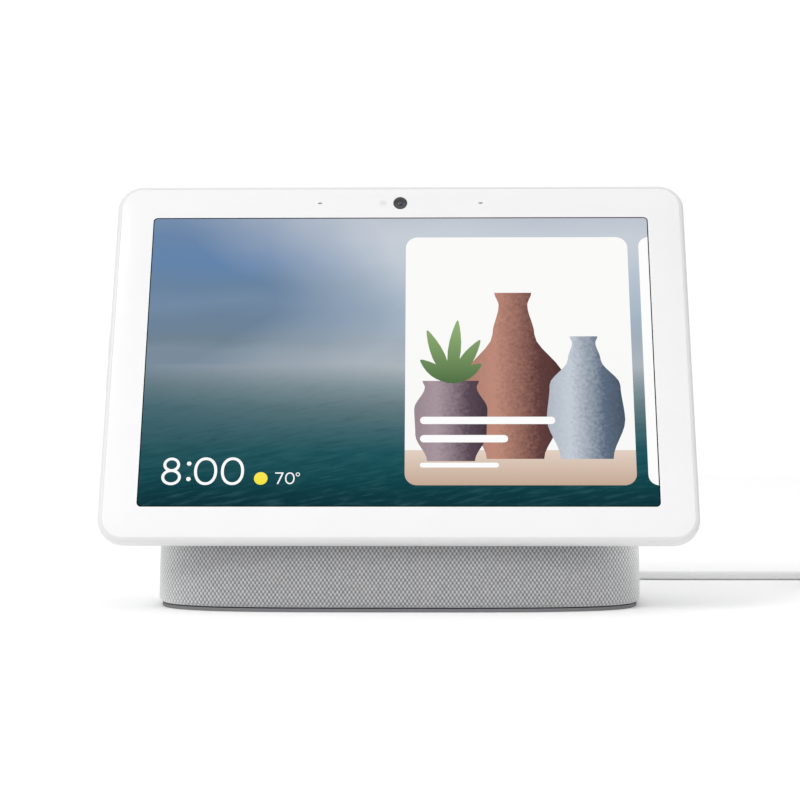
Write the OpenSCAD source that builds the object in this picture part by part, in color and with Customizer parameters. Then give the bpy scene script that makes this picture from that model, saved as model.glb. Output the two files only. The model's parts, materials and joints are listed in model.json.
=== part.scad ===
// Smart display: a tilted glass-fronted screen on a fabric-covered speaker base.
// X runs across the front, Y from front to back, Z up. The origin is on the resting
// surface, under the middle of the object without its power cord.

/* [Display panel] */
// Width of the display over its rim
panel_w = 250.1; // [200:0.1:310]
// Height of the display over its rim, along the slope
panel_h = 168.8; // [140:0.1:205]
// Thickness of the display
panel_t = 13.5; // [13:0.1:18]
// Corner radius of the rim
panel_corner_r = 11; // [8:0.5:20]
// Lean of the display back from upright
tilt = 25.5; // [20:0.5:30]
// Height of the rim's lower edge above the table
panel_lift = 29.3; // [26:0.1:36]
// Width of the rim between the glass and the outline
rim_w = 2.1; // [1.8:0.1:4]
// Depth of the rim's rounded front edge
rim_front_d = 3; // [2:0.1:3.4]
// Width of the rounding at the back of the display
back_round_w = 12; // [8:0.5:16]
// Wall of the rear housing
housing_wall = 1.8; // [1.5:0.1:2.5]

/* [Screen] */
// Width of the lit screen
screen_w = 217.7; // [170:0.1:222]
// Height of the lit screen
screen_h = 136.8; // [108:0.1:140]
// Distance from the lower outline to the screen
screen_low = 15.5; // [15:0.1:30]
// Thickness of the cover glass
glass_t = 1.8; // [1.1:0.1:1.9]

/* [Camera and sensors] */
// Diameter of the camera window
camera_d = 6.2; // [4:0.1:7]
// Height of the camera above the screen
camera_rise = 7.3; // [6.5:0.1:8]
// Distance of each microphone hole from the middle
mic_x = 35.5; // [20:0.5:60]
// Distance of the light sensor from the middle, to the left
sensor_x = 7.7; // [6.5:0.1:14]

/* [Controls] */
// Length of the microphone switch knob
knob_w = 12; // [8:0.5:14]
// Middle of the knob at rest
knob_x = -8.4; // [-9:0.1:-8]
// Travel of the knob
knob_travel = 4; // [2:0.5:4]
// Length of the volume rocker
rocker_l = 28; // [22:1:34]
// Height of the rocker's hinge up the display
rocker_v = 84; // [70:1:100]
// Diameter of the rocker's hinge pin
rocker_pin_d = 1.2; // [1:0.1:1.4]

/* [Base] */
// Width of the fabric base
base_w = 205.4; // [170:0.1:240]
// Depth of the base at the table
base_d = 101.2; // [95:0.1:125]
// Height where the base meets the back of the display
base_top = 134; // [125:1:150]
// Thickness of the fabric
fabric_t = 1.2; // [0.8:0.1:1.6]
// Wall of the hard shell under the fabric
shell_wall = 1.7; // [1.5:0.1:2.4]
// Height of the rubber foot
foot_h = 1.2; // [1:0.1:2]
// Thickness of the base plate
plate_t = 2.8; // [2:0.1:4]

/* [Speakers] */
// Outside diameter of the woofer's flange
woofer_d = 78; // [64:1:80]
// Height of the woofer's axis
woofer_z = 56; // [54:1:60]
// Outside diameter of each tweeter
tweeter_d = 19; // [15:0.5:19]

/* [Power] */
// Diameter of the plug's barrel
barrel_d = 5.5; // [4:0.1:6]
// Height of the power jack's axis
jack_z = 14.4; // [14:0.1:15.5]
// Diameter of the cord
cord_d = 4; // [3.6:0.1:4.4]

/* [Hidden] */
$fn = 64;

gap = 0.1;                      // clearance between pieces that sit against each other
slide_gap = 0.2;                // clearance beside a piece that moves
cut = 1;                        // how far a cutter runs past the face it cuts

// Display, worked out in its own slope: x across, y back through the thickness, z up the slope
panel_y = -base_d / 2;
mid_v = panel_h / 2;
screen_v = screen_low + screen_h / 2;
glass_inset = rim_w;
glass_back = glass_t + gap;
ledge_w = 0.6;                  // seat for the glass inside the rim
side_d = rim_front_d + 0.5;     // depth where the back rounding begins
inner_back = panel_t - housing_wall;
corner_steps = 8;
camera_v = screen_low + screen_h + camera_rise;

tray_margin = 3.4;              // how far the backlight tray reaches past the screen
tray_wall = 0.6;
tray_front = glass_back + 0.5;
tray_back = 4.9;
frame_inset = rim_w + 0.9;
frame_front = glass_back + 0.4;
frame_back = 5.6;
spreader_front = 5.3;
spreader_t = 0.8;
board_front = 7;
board_t = 1.2;
board_w = 150;
board_h = 66;
board_v = panel_h - 56.4;
post_r = 2.2;
small_screw_r = 1;

camera_barrel_r = 3.8;
lens_r = 2.3;
mic_board_front = 2.9;
mic_board_l = 34;
mic_board_x = 5.6 + mic_board_l / 2;
sensor_board_t = 0.8;

// Microphone switch, in the top edge
knob_front = 4.6;
knob_d = 2.6;
knob_proud = 2.2;
flange_v = panel_h - 4.4;
flange_t = 0.9;
switch_x = -10;
switch_w = 9.6;
switch_h = 2.8;

// Volume rocker, in the left edge
rocker_front = 4.2;
rocker_d = 3.2;
rocker_proud = 0.7;
rocker_t = 2.85;
rocker_end_gap = 0.5;
pin_x = -panel_w / 2 + 5;
lug_r = 1.1;
ear_t = 0.6;
volume_board_x = -panel_w / 2 + 7.1;
press_v = rocker_l / 2 - 4;     // where each end of the rocker presses its switch

// Neck between the display and the base
neck_w = 100;
neck_h = 50;
neck_v = 66;
neck_screw_x = 40;
neck_screw_v = 18;
neck_screw_r = 1.5;
pass_w = 34;
pass_h = 10;

// Base outline and profile
spine_front = -4.6;             // middle of the outline at the table
spine_back = panel_y + (base_top - panel_lift) * tan(tilt) + panel_t / cos(tilt) + 0.7; // at the top
front_lean = 0.287;
rear_lean = 0.09;
n_front = 4;
n_rear = 2.6;
edge_round = 2;
sleeve_z = foot_h + 0.8;
outline_steps = 48;
profile_steps = 13;
display_gap = 0.2;
shell_inset = fabric_t + gap;
room_inset = shell_inset + shell_wall;
plate_inset = room_inset + edge_round + 0.4;
foot_inset = edge_round - 0.6;
foot_ring_w = 14;
plate_top = foot_h + plate_t;
chassis_h = 5;
chassis_inset = room_inset + edge_round + 0.6;
chassis_ring_w = 11;
base_screw_r = 1.5;
screw_in = 23.6;                // from the base's side to its outer screws
base_screw_at = [for (s = [-1, 1]) each [
  [s * (base_w / 2 - screw_in), 26.6 - base_d / 2],
  [s * (base_w / 2 - screw_in), base_d / 2 - 30.6],
  [s * 40, base_d / 2 - 16.6]
]];

// Speakers
tweeter_x = base_w / 2 - 45.6;
baffle_y = base_d / 2 - 23.6;
baffle_t = 3;
baffle_low = 17;
woofer_r = woofer_d / 2;
cone_r = woofer_r - 9;
roll_r = woofer_r - 4.6;
bore_r = woofer_r - 4;
coil_r = 11;
magnet_r = 22;
basket_l = 21.6;
tweeter_z = 14.6;
tweeter_y = 12.8 - base_d / 2;
tweeter_l = 12;

// Ports and plug
jack_w = 14;
jack_h = 10;
jack_l = 15;
cover_w = 52;
cover_h = 13;
cover_t = 3;
cover_y = base_d / 2 - 5;
cover_z = 13.5;
usb_x = 17;
barrel_l = 10.5;
plug_y = cover_y + cover_t + 0.3;
plug_r = 4.75;
plug_l = 15.1;
relief_l = 12;
cord_y = plug_y + plug_l + relief_l;

// Cord, lying behind and to the right of the base
cord_route = [
  [0, cord_y, jack_z], [0, 84, 14], [1, 92, 12], [4, 100, 9], [10, 107, 5.6],
  [19, 112, 3], [29, 114, 2], [39, 113, 2], [49, 110, 2], [59, 105.5, 2], [69, 100, 2],
  [79, 94.5, 2], [89, 89.5, 2], [99, 85.5, 2], [109, 82.5, 2], [119, 81, 2],
  [130, 80.6, 2], [142, 80.6, 2], [154, 80.6, 2], [166, 80.6, 2], [178, 80.6, 2],
  [190, 80.6, 2], [206, 80.6, 2]
];
coil_x = 218;
coil_y = 54.6;
coil_out_r = 28;
coil_in_r = 15;
tie_w = 6;
tie_t = 0.8;
coil_h = 4 * cord_d;
tail_x = 244;
tail_z = 14;
tail_route = [[244, 44, 14.5], [244, 36, 14.2], [244, 26, 14], [244, 16, 14]];
cord_sides = 8;
tie_angle = 200;

adapter_w = 48;
adapter_l = 50;
adapter_h = 28;
adapter_back = 4;
adapter_r = 8;
blade_w = 6.35;
blade_t = 1.5;
blade_l = 17;
blade_gap = 12.7;

// ---- Functions ----

// One closed ring of a rounded rectangle, at depth y in the display's own slope
function panel_ring(y, inset) =
  let (w = panel_w / 2 - inset, h = mid_v - inset, r = max(panel_corner_r - inset, 1))
  [for (c = [0:3], i = [0:corner_steps])
    let (a = 90 * (c + i / corner_steps), sx = c == 0 || c == 3 ? 1 : -1, sz = c < 2 ? 1 : -1)
    [sx * (w - r) + r * cos(a), y, mid_v + sz * (h - r) + r * sin(a)]];

// The display's outside from back to front, grown by a margin
function panel_profile(margin = 0) = concat(
  [for (a = [90:-15:0])
    [side_d + (panel_t + margin - side_d) * sin(a), back_round_w * (1 - cos(a)) - margin]],
  [for (a = [72:-18:0]) [rim_front_d * (1 - cos(a)), (rim_w - 0.35) * (1 - sin(a)) - margin]]);

// Depth-dependent inset of the housing's inside
function room_profile() = concat(
  [for (a = [90:-15:0])
    [side_d + (inner_back - side_d) * sin(a), housing_wall + back_round_w * (1 - cos(a))]],
  [[rim_front_d, rim_w + ledge_w], [glass_back - gap, rim_w + ledge_w]]);

function power(x, p) = x <= 0 ? 0 : pow(x, p);
function lerp(a, b, t) = a + (b - a) * t;

// Base: middle line, half width and crown of the profile at height z
function spine(z, top) = lerp(spine_front, spine_back, z / top);
function half_w(z, top) = base_w / 2 * power(1 - pow(z / top, 4), 1 / 3);
function crown(z, top) = power(1 - pow(z / top, 3), 1 / 2.2);
function front_reach(z, top) = (spine(z, top) + base_d / 2 - front_lean * z) * crown(z, top);
function rear_reach(z, top) = (base_d / 2 - rear_lean * z - spine(z, top)) * crown(z, top);

// One closed ring of the base at height z, moved in by inset
function base_ring(z, inset, top) = [for (i = [0:outline_steps - 1])
  let (
    a = 360 * i / outline_steps,
    n = sin(a) < 0 ? n_front : n_rear,
    reach = sin(a) < 0 ? front_reach(z, top) : rear_reach(z, top),
    wide = max(half_w(z, top) - inset, 0.05),
    deep = max(reach - inset, 0.05)
  )
  [wide * sign(cos(a)) * power(abs(cos(a)), 2 / n),
   spine(z, top) + deep * sign(sin(a)) * power(abs(sin(a)), 2 / n), z]];

// The base from its lower edge up to its crown, moved in by inset
function base_rings(low, inset) =
  let (top = base_top - inset, start = low + edge_round)
  concat(
    [for (a = [0:30:60]) base_ring(start - edge_round * cos(a), inset + edge_round * (1 - sin(a)), top)],
    [for (i = [0:profile_steps])
      base_ring(start + (top - 0.02 - start) * sin(90 * i / profile_steps), inset, top)]);

// A flat outline of the base at the table
function base_outline(inset) = [for (p = base_ring(0, inset, base_top)) [p.x, p.y]];

function unit(v) = v / norm(v);
function heading(path, i) =
  unit(path[min(i + 1, len(path) - 1)] - path[max(i - 1, 0)]);

// A ring of a round tube across the path at its point i
function tube_ring(path, i, r, sides) =
  let (t = heading(path, i), side = unit(cross(t, [0, 0, 1])), down = cross(t, side))
  [for (k = [0:sides - 1])
    let (a = 360 * (k + 0.5) / sides) path[i] + r * (cos(a) * side + sin(a) * down)];

// ---- Building modules ----

// A closed solid through rings that go round anticlockwise as seen from where they lead
module skin(rings) {
  n = len(rings[0]);
  last = len(rings) - 1;
  polyhedron(
    points = [for (ring = rings) each ring],
    faces = concat(
      [[for (j = [0:n - 1]) j]],
      [for (i = [0:last - 1], j = [0:n - 1]) [i * n + j, (i + 1) * n + j, (i + 1) * n + (j + 1) % n]],
      [for (i = [0:last - 1], j = [0:n - 1]) [i * n + j, (i + 1) * n + (j + 1) % n, i * n + (j + 1) % n]],
      [[for (j = [n - 1:-1:0]) last * n + j]]));
}

module on_panel() {
  translate([0, panel_y, panel_lift]) rotate([-tilt, 0, 0]) children();
}

// Extrudes a shape drawn across the display from depth d over thickness t
module layer(d, t) {
  translate([0, d + t, 0]) rotate([90, 0, 0]) linear_extrude(t) children();
}

module round_rect(w, h, r) {
  square([w - 2 * r, h], center = true);
  square([w, h - 2 * r], center = true);
  for (x = [-1, 1], y = [-1, 1])
    translate([x * (w / 2 - r), y * (h / 2 - r)]) circle(r);
}

module panel_rect(inset) {
  translate([0, mid_v])
    round_rect(panel_w - 2 * inset, panel_h - 2 * inset, max(panel_corner_r - inset, 1));
}

module screen_rect(margin, r) {
  translate([0, screen_v]) round_rect(screen_w + 2 * margin, screen_h + 2 * margin, r);
}

module mic_slot(extra) {
  for (x = [-mic_x, mic_x]) translate([x, camera_v]) {
    square([1.1 + 2 * extra, 0.8 + 2 * extra], center = true);
    for (s = [-0.55, 0.55]) translate([s, 0]) circle(0.4 + extra, $fn = 24);
  }
}

// The display's outline swept forward, used to cut the base back to it
module display_clearance(margin) {
  profile = panel_profile(margin);
  on_panel() skin(concat(
    [for (p = [for (q = profile) if (q[0] >= side_d) q]) panel_ring(p[0], p[1])],
    [panel_ring(-90, -margin)]));
}

// The base's outer form, moved in, and cut back to the display
module base_form(low, inset, margin) {
  difference() {
    skin(base_rings(low, inset));
    display_clearance(margin);
  }
}

// Turns a shape's Z axis to point back along +Y
module facing_back(y, z) {
  translate([0, y, z]) rotate([-90, 0, 0]) children();
}

module cord_tube(path) {
  skin([for (i = [0:len(path) - 1]) tube_ring(path, i, cord_d / 2, cord_sides)]);
}

// ---- Display ----

module front_glass() {
  color([0.96, 0.96, 0.96]) on_panel() layer(0, glass_t) difference() {
    panel_rect(glass_inset);
    translate([0, camera_v]) circle(camera_d / 2);
    mic_slot(0);
  }
}

module glass_tape() {
  color([0.15, 0.15, 0.15]) on_panel() layer(glass_back, 0.3) difference() {
    panel_rect(rim_w + ledge_w + 0.3);
    screen_rect(tray_margin + 0.3, 2);
    translate([0, camera_v]) square([2 * (mic_board_x + mic_board_l / 2 + 1), 8.6], center = true);
  }
}

module lcd_panel() {
  color([0.35, 0.55, 0.6]) on_panel() layer(glass_back, 2.2)
    screen_rect(tray_margin - tray_wall - gap, 1.5);
}

module backlight_tray() {
  color([0.75, 0.76, 0.78]) on_panel() {
    layer(tray_back - tray_wall, tray_wall) screen_rect(tray_margin, 1.8);
    layer(tray_front, tray_back - tray_front - tray_wall) difference() {
      screen_rect(tray_margin, 1.8);
      screen_rect(tray_margin - tray_wall, 1.6);
    }
  }
}

module mid_frame() {
  color([0.2, 0.2, 0.21]) on_panel() difference() {
    layer(frame_front, frame_back - frame_front) difference() {
      panel_rect(frame_inset);
      screen_rect(tray_margin + 0.4, 2);
      translate([0, camera_v])
        square([2 * (mic_board_x + mic_board_l / 2 + 0.8), 8.4], center = true);
    }
    translate([knob_x - knob_w, knob_front - 0.8, flange_v - 3.6])
      cube([2 * knob_w + knob_travel, 10, 10]);
    translate([-panel_w / 2, rocker_front - 1, rocker_v - rocker_l / 2 - 6])
      cube([9, 10, rocker_l + 12]);
  }
}

module rear_housing() {
  color([0.95, 0.95, 0.95]) on_panel() difference() {
    skin([for (p = panel_profile()) panel_ring(p[0], p[1])]);
    skin([for (p = room_profile()) panel_ring(p[0], p[1])]);
    skin([panel_ring(glass_back, glass_inset - gap), panel_ring(-cut, glass_inset - gap)]);
    translate([knob_x - knob_w / 2 - 0.4, knob_front - slide_gap, panel_h - 8])
      cube([knob_w + knob_travel + 0.8, knob_d + 2 * slide_gap, 10]);
    translate([-panel_w / 2 - cut, rocker_front - slide_gap, rocker_v - rocker_l / 2 - rocker_end_gap])
      cube([6, rocker_d + 2 * slide_gap, rocker_l + 2 * rocker_end_gap]);
    layer(inner_back - cut, housing_wall + 2 * cut) neck_cuts(neck_screw_r);
  }
}

// Cable pass and screw holes shared by the neck's pieces
module neck_cuts(r) {
  translate([0, neck_v]) {
    square([pass_w, pass_h], center = true);
    for (x = [-neck_screw_x, neck_screw_x], v = [-neck_screw_v, neck_screw_v])
      translate([x, v]) circle(r, $fn = 24);
  }
}

module heat_spreader() {
  color([0.78, 0.79, 0.8]) on_panel() {
    layer(spreader_front, spreader_t) difference() {
      screen_rect(-6, 3);
      board_holes(small_screw_r);
    }
    layer(spreader_front + spreader_t, board_front - spreader_front - spreader_t) difference() {
      board_holes(post_r);
      board_holes(small_screw_r);
    }
  }
}

module board_holes(r) {
  for (x = [-1, 1], v = [-1, 1])
    translate([x * (board_w / 2 - 5), board_v + v * (board_h / 2 - 5)]) circle(r, $fn = 24);
}

module main_board() {
  color([0.05, 0.3, 0.2]) on_panel() layer(board_front, board_t) difference() {
    translate([0, board_v]) square([board_w, board_h], center = true);
    board_holes(small_screw_r);
  }
}

module shield_cans() {
  color([0.8, 0.8, 0.78]) on_panel() layer(board_front + board_t, 2) {
    translate([-28, board_v + 4]) square([38, 34], center = true);
    translate([18, board_v + 8]) square([34, 26], center = true);
    translate([50, board_v - 6]) square([20, 30], center = true);
  }
}

module board_screws() {
  color([0.6, 0.6, 0.62]) on_panel() {
    layer(spreader_front, board_front + board_t - spreader_front) board_holes(small_screw_r);
    layer(board_front + board_t, 1.2) board_holes(small_screw_r * 2);
  }
}

module wifi_antennas() {
  color([0.7, 0.55, 0.25]) on_panel() for (s = [-1, 1])
    layer(board_front, 0.3) translate([s * (panel_w / 2 - 34), mid_v + 66]) square([34, 8], center = true);
}

module camera_window() {
  color([0.05, 0.05, 0.06]) on_panel() layer(0.1, 1.2)
    translate([0, camera_v]) circle(camera_d / 2 - 0.05);
}

module camera_barrel() {
  color([0.1, 0.1, 0.1]) on_panel() layer(glass_back, 3.7) translate([0, camera_v]) difference() {
    circle(camera_barrel_r);
    circle(lens_r);
  }
}

module camera_lens() {
  color([0.2, 0.25, 0.35]) on_panel() translate([0, glass_back + 1.9, camera_v])
    rotate([90, 0, 0]) rotate_extrude() intersection() {
      translate([0, -3]) circle(4);
      square([lens_r - 0.02, 1.4]);
    }
}

module camera_board() {
  color([0.05, 0.3, 0.2]) on_panel() layer(5.9, sensor_board_t)
    translate([0, camera_v - 0.4]) square([10, 7.6], center = true);
}

module mic_boards() {
  color([0.05, 0.3, 0.2]) on_panel() layer(mic_board_front, sensor_board_t)
    for (s = [-1, 1]) translate([s * mic_board_x, camera_v]) square([mic_board_l, 6], center = true);
}

module microphones() {
  color([0.8, 0.75, 0.6]) on_panel() layer(glass_back, mic_board_front - glass_back)
    for (x = [-mic_x, mic_x]) translate([x, camera_v]) difference() {
      square([3.6, 2.8], center = true);
      circle(0.5, $fn = 24);
    }
}

module light_sensor() {
  color([0.5, 0.5, 0.5]) on_panel() layer(glass_back, mic_board_front - glass_back)
    translate([-sensor_x, camera_v]) square([2.6, 2.2], center = true);
}

// ---- Controls ----

module mute_knob() {
  color([0.93, 0.93, 0.93]) on_panel() {
    translate([knob_x - knob_w / 2, knob_front, flange_v])
      cube([knob_w, knob_d, panel_h + knob_proud - flange_v]);
    translate([knob_x - knob_w / 2 - 1, knob_front - 0.3, flange_v])
      cube([knob_w + 2, knob_d + 0.4, flange_t]);
    translate([switch_x - knob_travel / 2 - 0.5, knob_front + 1, flange_v - 1.2])
      cube([1, 0.6, 1.3]);
  }
}

module mute_switch() {
  color([0.15, 0.15, 0.16]) on_panel() difference() {
    translate([switch_x - switch_w / 2, knob_front, flange_v - 0.4 - switch_h])
      cube([switch_w, knob_d, switch_h]);
    translate([switch_x - knob_travel / 2 - 1, knob_front + 0.7, flange_v - 0.4 - 1.4])
      cube([knob_travel + 2, 1.2, 2]);
  }
}

module volume_rocker() {
  outer_x = -panel_w / 2 - rocker_proud;
  color([0.93, 0.93, 0.93]) on_panel() difference() {
    union() {
      translate([outer_x, rocker_front, rocker_v - rocker_l / 2])
        cube([rocker_t, rocker_d, rocker_l]);
      translate([outer_x + rocker_t - gap, rocker_front, rocker_v - lug_r])
        cube([pin_x - outer_x - rocker_t + gap, rocker_d, 2 * lug_r]);
      layer(rocker_front, rocker_d) translate([pin_x, rocker_v]) circle(lug_r);
      for (s = [-1, 1])
        translate([outer_x + rocker_t - gap, rocker_front + 0.9, rocker_v + s * press_v - 0.8])
          cube([2.2, 1.4, 1.6]);
    }
    layer(rocker_front - cut, rocker_d + 2 * cut)
      translate([pin_x, rocker_v]) circle(rocker_pin_d / 2 + 0.05);
  }
}

module rocker_pin() {
  color([0.7, 0.7, 0.72]) on_panel() layer(rocker_front - ear_t - gap, rocker_d + 2 * (ear_t + gap))
    translate([pin_x, rocker_v]) circle(rocker_pin_d / 2);
}

module rocker_bracket() {
  web_x = volume_board_x - ear_t;
  color([0.75, 0.75, 0.76]) on_panel() {
    for (d = [rocker_front - ear_t - gap, rocker_front + rocker_d + gap])
      layer(d, ear_t) difference() {
        translate([pin_x - 1, rocker_v - 1.6]) square([web_x + ear_t - pin_x + 1, 3.2]);
        translate([pin_x, rocker_v]) circle(rocker_pin_d / 2);
      }
    translate([web_x, rocker_front - gap, rocker_v - 1.6])
      cube([ear_t, rocker_d + 2 * gap, 3.2]);
  }
}

module volume_board() {
  color([0.05, 0.3, 0.2]) on_panel()
    translate([volume_board_x, rocker_front - 0.8, rocker_v - rocker_l / 2 - 3])
      cube([sensor_board_t, rocker_d + 1.6, rocker_l + 6]);
}

module volume_switches() {
  color([0.3, 0.3, 0.3]) on_panel() for (s = [-1, 1]) {
    translate([volume_board_x - 1, rocker_front + 0.1, rocker_v + s * press_v - 1.5])
      cube([1, 3, 3]);
    translate([volume_board_x - 1.5, rocker_front + 1.1, rocker_v + s * press_v - 0.5])
      cube([0.5, 1, 1]);
  }
}

// ---- Neck ----

neck_front = panel_t + display_gap + shell_wall + 0.5;
neck_t = 1.5;

module neck_bracket() {
  color([0.6, 0.61, 0.63]) on_panel() layer(neck_front, neck_t) difference() {
    translate([0, neck_v]) round_rect(neck_w, neck_h, 4);
    neck_cuts(neck_screw_r + gap);
  }
}

module neck_screws() {
  color([0.55, 0.55, 0.57]) on_panel()
    for (x = [-neck_screw_x, neck_screw_x], v = [-neck_screw_v, neck_screw_v]) {
      layer(inner_back, neck_front + neck_t - inner_back)
        translate([x, neck_v + v]) circle(neck_screw_r, $fn = 24);
      layer(neck_front + neck_t, 2) translate([x, neck_v + v]) circle(2 * neck_screw_r);
    }
}

// ---- Base ----

module fabric_sleeve() {
  color([0.62, 0.63, 0.63]) difference() {
    base_form(sleeve_z, 0, display_gap);
    skin(base_rings(sleeve_z - 3, fabric_t));
    port_opening(0.4);
  }
}

module base_shell() {
  color([0.85, 0.85, 0.85]) difference() {
    base_form(sleeve_z, shell_inset, display_gap);
    base_form(sleeve_z - 3, room_inset, display_gap + shell_wall);
    port_opening(0);
    facing_back(baffle_y, woofer_z) cylinder(h = base_d, r = bore_r + 1);
    for (s = [-1, 1]) translate([s * tweeter_x, tweeter_y + cut, tweeter_z])
      rotate([90, 0, 0]) cylinder(h = 20, d = tweeter_d - 2);
    on_panel() layer(panel_t - cut, 6) neck_cuts(neck_screw_r + gap);
  }
}

// The hole behind the ports, right through the rear wall
module port_opening(extra) {
  translate([-cover_w / 2 - extra - gap, cover_y - 3, cover_z - cover_h / 2 - extra - gap])
    cube([cover_w + 2 * (extra + gap), 20, cover_h + 2 * (extra + gap)]);
}

module base_chassis() {
  color([0.3, 0.3, 0.31]) difference() {
    translate([0, 0, plate_top + gap]) linear_extrude(chassis_h) difference() {
      polygon(base_outline(chassis_inset + 1));
      polygon(base_outline(chassis_inset + chassis_ring_w));
      base_holes(base_screw_r);
    }
    for (s = [-1, 1]) translate([s * tweeter_x, tweeter_y + 20, tweeter_z])
      rotate([90, 0, 0]) cylinder(h = 40, r = tweeter_d / 2 + 0.5);
    translate([-cover_w / 2 - 3, 20, plate_top]) cube([cover_w + 6, 40, 20]);
  }
}

module base_holes(r) {
  for (p = base_screw_at) translate(p) circle(r, $fn = 24);
}

module base_plate() {
  color([0.25, 0.25, 0.26]) translate([0, 0, foot_h]) {
    linear_extrude(1.4) difference() {
      polygon(base_outline(plate_inset));
      base_holes(2.9);
    }
    translate([0, 0, 1.4]) linear_extrude(plate_t - 1.4) difference() {
      polygon(base_outline(plate_inset));
      base_holes(base_screw_r + gap);
    }
  }
}

module base_screws() {
  color([0.55, 0.55, 0.57]) for (p = base_screw_at) {
    translate([p[0], p[1], foot_h + 0.1]) cylinder(h = 1.3, r = 2.8);
    translate([p[0], p[1], foot_h + 1.4])
      cylinder(h = plate_t - 1.4 + 4, r = base_screw_r);
  }
}

module rubber_foot() {
  color([0.62, 0.62, 0.63]) linear_extrude(foot_h) difference() {
    polygon(base_outline(foot_inset));
    polygon(base_outline(foot_inset + foot_ring_w));
  }
}

// ---- Speakers ----

module speaker_baffle() {
  color([0.2, 0.2, 0.2]) difference() {
    intersection() {
      skin(base_rings(sleeve_z - 3, room_inset + gap));
      translate([-70, baffle_y, baffle_low]) cube([140, baffle_t, base_top]);
    }
    facing_back(baffle_y - cut, woofer_z) cylinder(h = baffle_t + 2 * cut, r = bore_r);
    woofer_screw_places() cylinder(h = baffle_t + 2 * cut, r = 1.2, $fn = 24);
  }
}

module woofer_screw_places() {
  facing_back(baffle_y - cut, woofer_z) for (a = [45:90:315])
    rotate(a) translate([woofer_r - 2, 0, 0]) children();
}

module woofer_basket() {
  color([0.3, 0.3, 0.32]) difference() {
    facing_back(baffle_y, woofer_z) rotate_extrude($fn = 96) polygon([
      [roll_r, 0], [woofer_r, 0], [woofer_r, -1.6], [roll_r + 1, -1.6],
      [magnet_r + 2, 1.6 - basket_l], [magnet_r + 2, -basket_l], [coil_r + 2, -basket_l],
      [coil_r + 2, 1.4 - basket_l], [magnet_r + 0.8, 1.4 - basket_l], [roll_r, -1.6]]);
    woofer_screw_places() translate([0, 0, -3]) cylinder(h = 8, r = 1.3, $fn = 24);
  }
}

module woofer_screws() {
  color([0.6, 0.6, 0.62]) woofer_screw_places() translate([0, 0, -2.2]) {
    cylinder(h = 1.6, r = 1.5, $fn = 24);
    cylinder(h = 5.4, r = 1.15, $fn = 24);
  }
}

module woofer_magnet() {
  color([0.25, 0.25, 0.27]) facing_back(baffle_y, woofer_z) rotate_extrude($fn = 96) polygon([
    [0, -20], [coil_r - 1.4, -20], [coil_r - 1.4, -31], [coil_r + 0.8, -31],
    [coil_r + 0.8, -basket_l], [magnet_r, -basket_l], [magnet_r, -33], [0, -33]]);
}

// Cone, voice coil and dust cap, which are one moving piece
module woofer_cone() {
  neck_w_at = -15;
  coil_end = -27;
  color([0.12, 0.12, 0.13]) facing_back(baffle_y, woofer_z) rotate_extrude($fn = 96)
    polygon(concat(
      [[cone_r, -2], [coil_r, neck_w_at], [coil_r, coil_end], [coil_r - 0.6, coil_end]],
      [for (a = [60:-10:0]) dust_cap_point(coil_r - 0.6, neck_w_at, a)],
      [for (a = [0:10:60]) dust_cap_point(coil_r - 0.6, neck_w_at + 0.7, a)],
      [[cone_r - 0.8, -1.6]]));
}

// A point of a dome of radius r that starts at height h
function dust_cap_point(r, h, a) = [r * sin(a) / sin(60), h + r * (cos(a) - cos(60)) / sin(60)];

module woofer_surround() {
  mid = (cone_r + roll_r) / 2;
  half = (roll_r - cone_r) / 2 - 0.15;
  color([0.1, 0.1, 0.1]) facing_back(baffle_y - 0.9, woofer_z) rotate_extrude($fn = 96)
    translate([mid, 0]) intersection() {
      difference() {
        circle(half);
        circle(half - 0.8);
      }
      translate([-half, 0]) square([2 * half, half]);
    }
}

// Places a tweeter's own shape, whose Z axis points out of the front
module tweeter_place(side) {
  translate([side * tweeter_x, tweeter_y, tweeter_z]) rotate([90, 0, 0]) children();
}

module tweeter_frame(side) {
  r = tweeter_d / 2;
  color([0.2, 0.2, 0.2]) tweeter_place(side) rotate_extrude() polygon([
    [r - 1.5, 0], [r, 0], [r, -tweeter_l], [0, -tweeter_l],
    [0, -tweeter_l + 1.2], [r - 1.2, -tweeter_l + 1.2], [r - 1.2, -2.4], [r - 1.5, -2.4]]);
}

module tweeter_magnet(side) {
  color([0.6, 0.6, 0.62]) tweeter_place(side) translate([0, 0, -tweeter_l + 1.3])
    cylinder(h = 6, r = tweeter_d / 2 - 2.2);
}

module tweeter_dome(side) {
  r = tweeter_d / 2 - 2;
  dome_r = 8;
  color([0.15, 0.15, 0.16]) tweeter_place(side) translate([0, 0, -3.4]) rotate_extrude() union() {
    intersection() {
      translate([0, -sqrt(dome_r * dome_r - (r - 1) * (r - 1))]) difference() {
        circle(dome_r);
        circle(dome_r - 0.4);
      }
      square([r - 1.2, 6]);
    }
    translate([r - 2.2, 0]) square([2.2, 0.4]);
  }
}

module tweeter_left_frame() { tweeter_frame(-1); }
module tweeter_left_magnet() { tweeter_magnet(-1); }
module tweeter_left_dome() { tweeter_dome(-1); }
module tweeter_right_frame() { tweeter_frame(1); }
module tweeter_right_magnet() { tweeter_magnet(1); }
module tweeter_right_dome() { tweeter_dome(1); }

// ---- Ports ----

jack_y = cover_y - 0.2 - jack_l;
board_z = jack_z - jack_h / 2 - 1.4;

module io_board() {
  color([0.05, 0.3, 0.2]) translate([-cover_w / 2, jack_y - 6, board_z])
    cube([cover_w, jack_l + 4, 1.4]);
}

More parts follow.
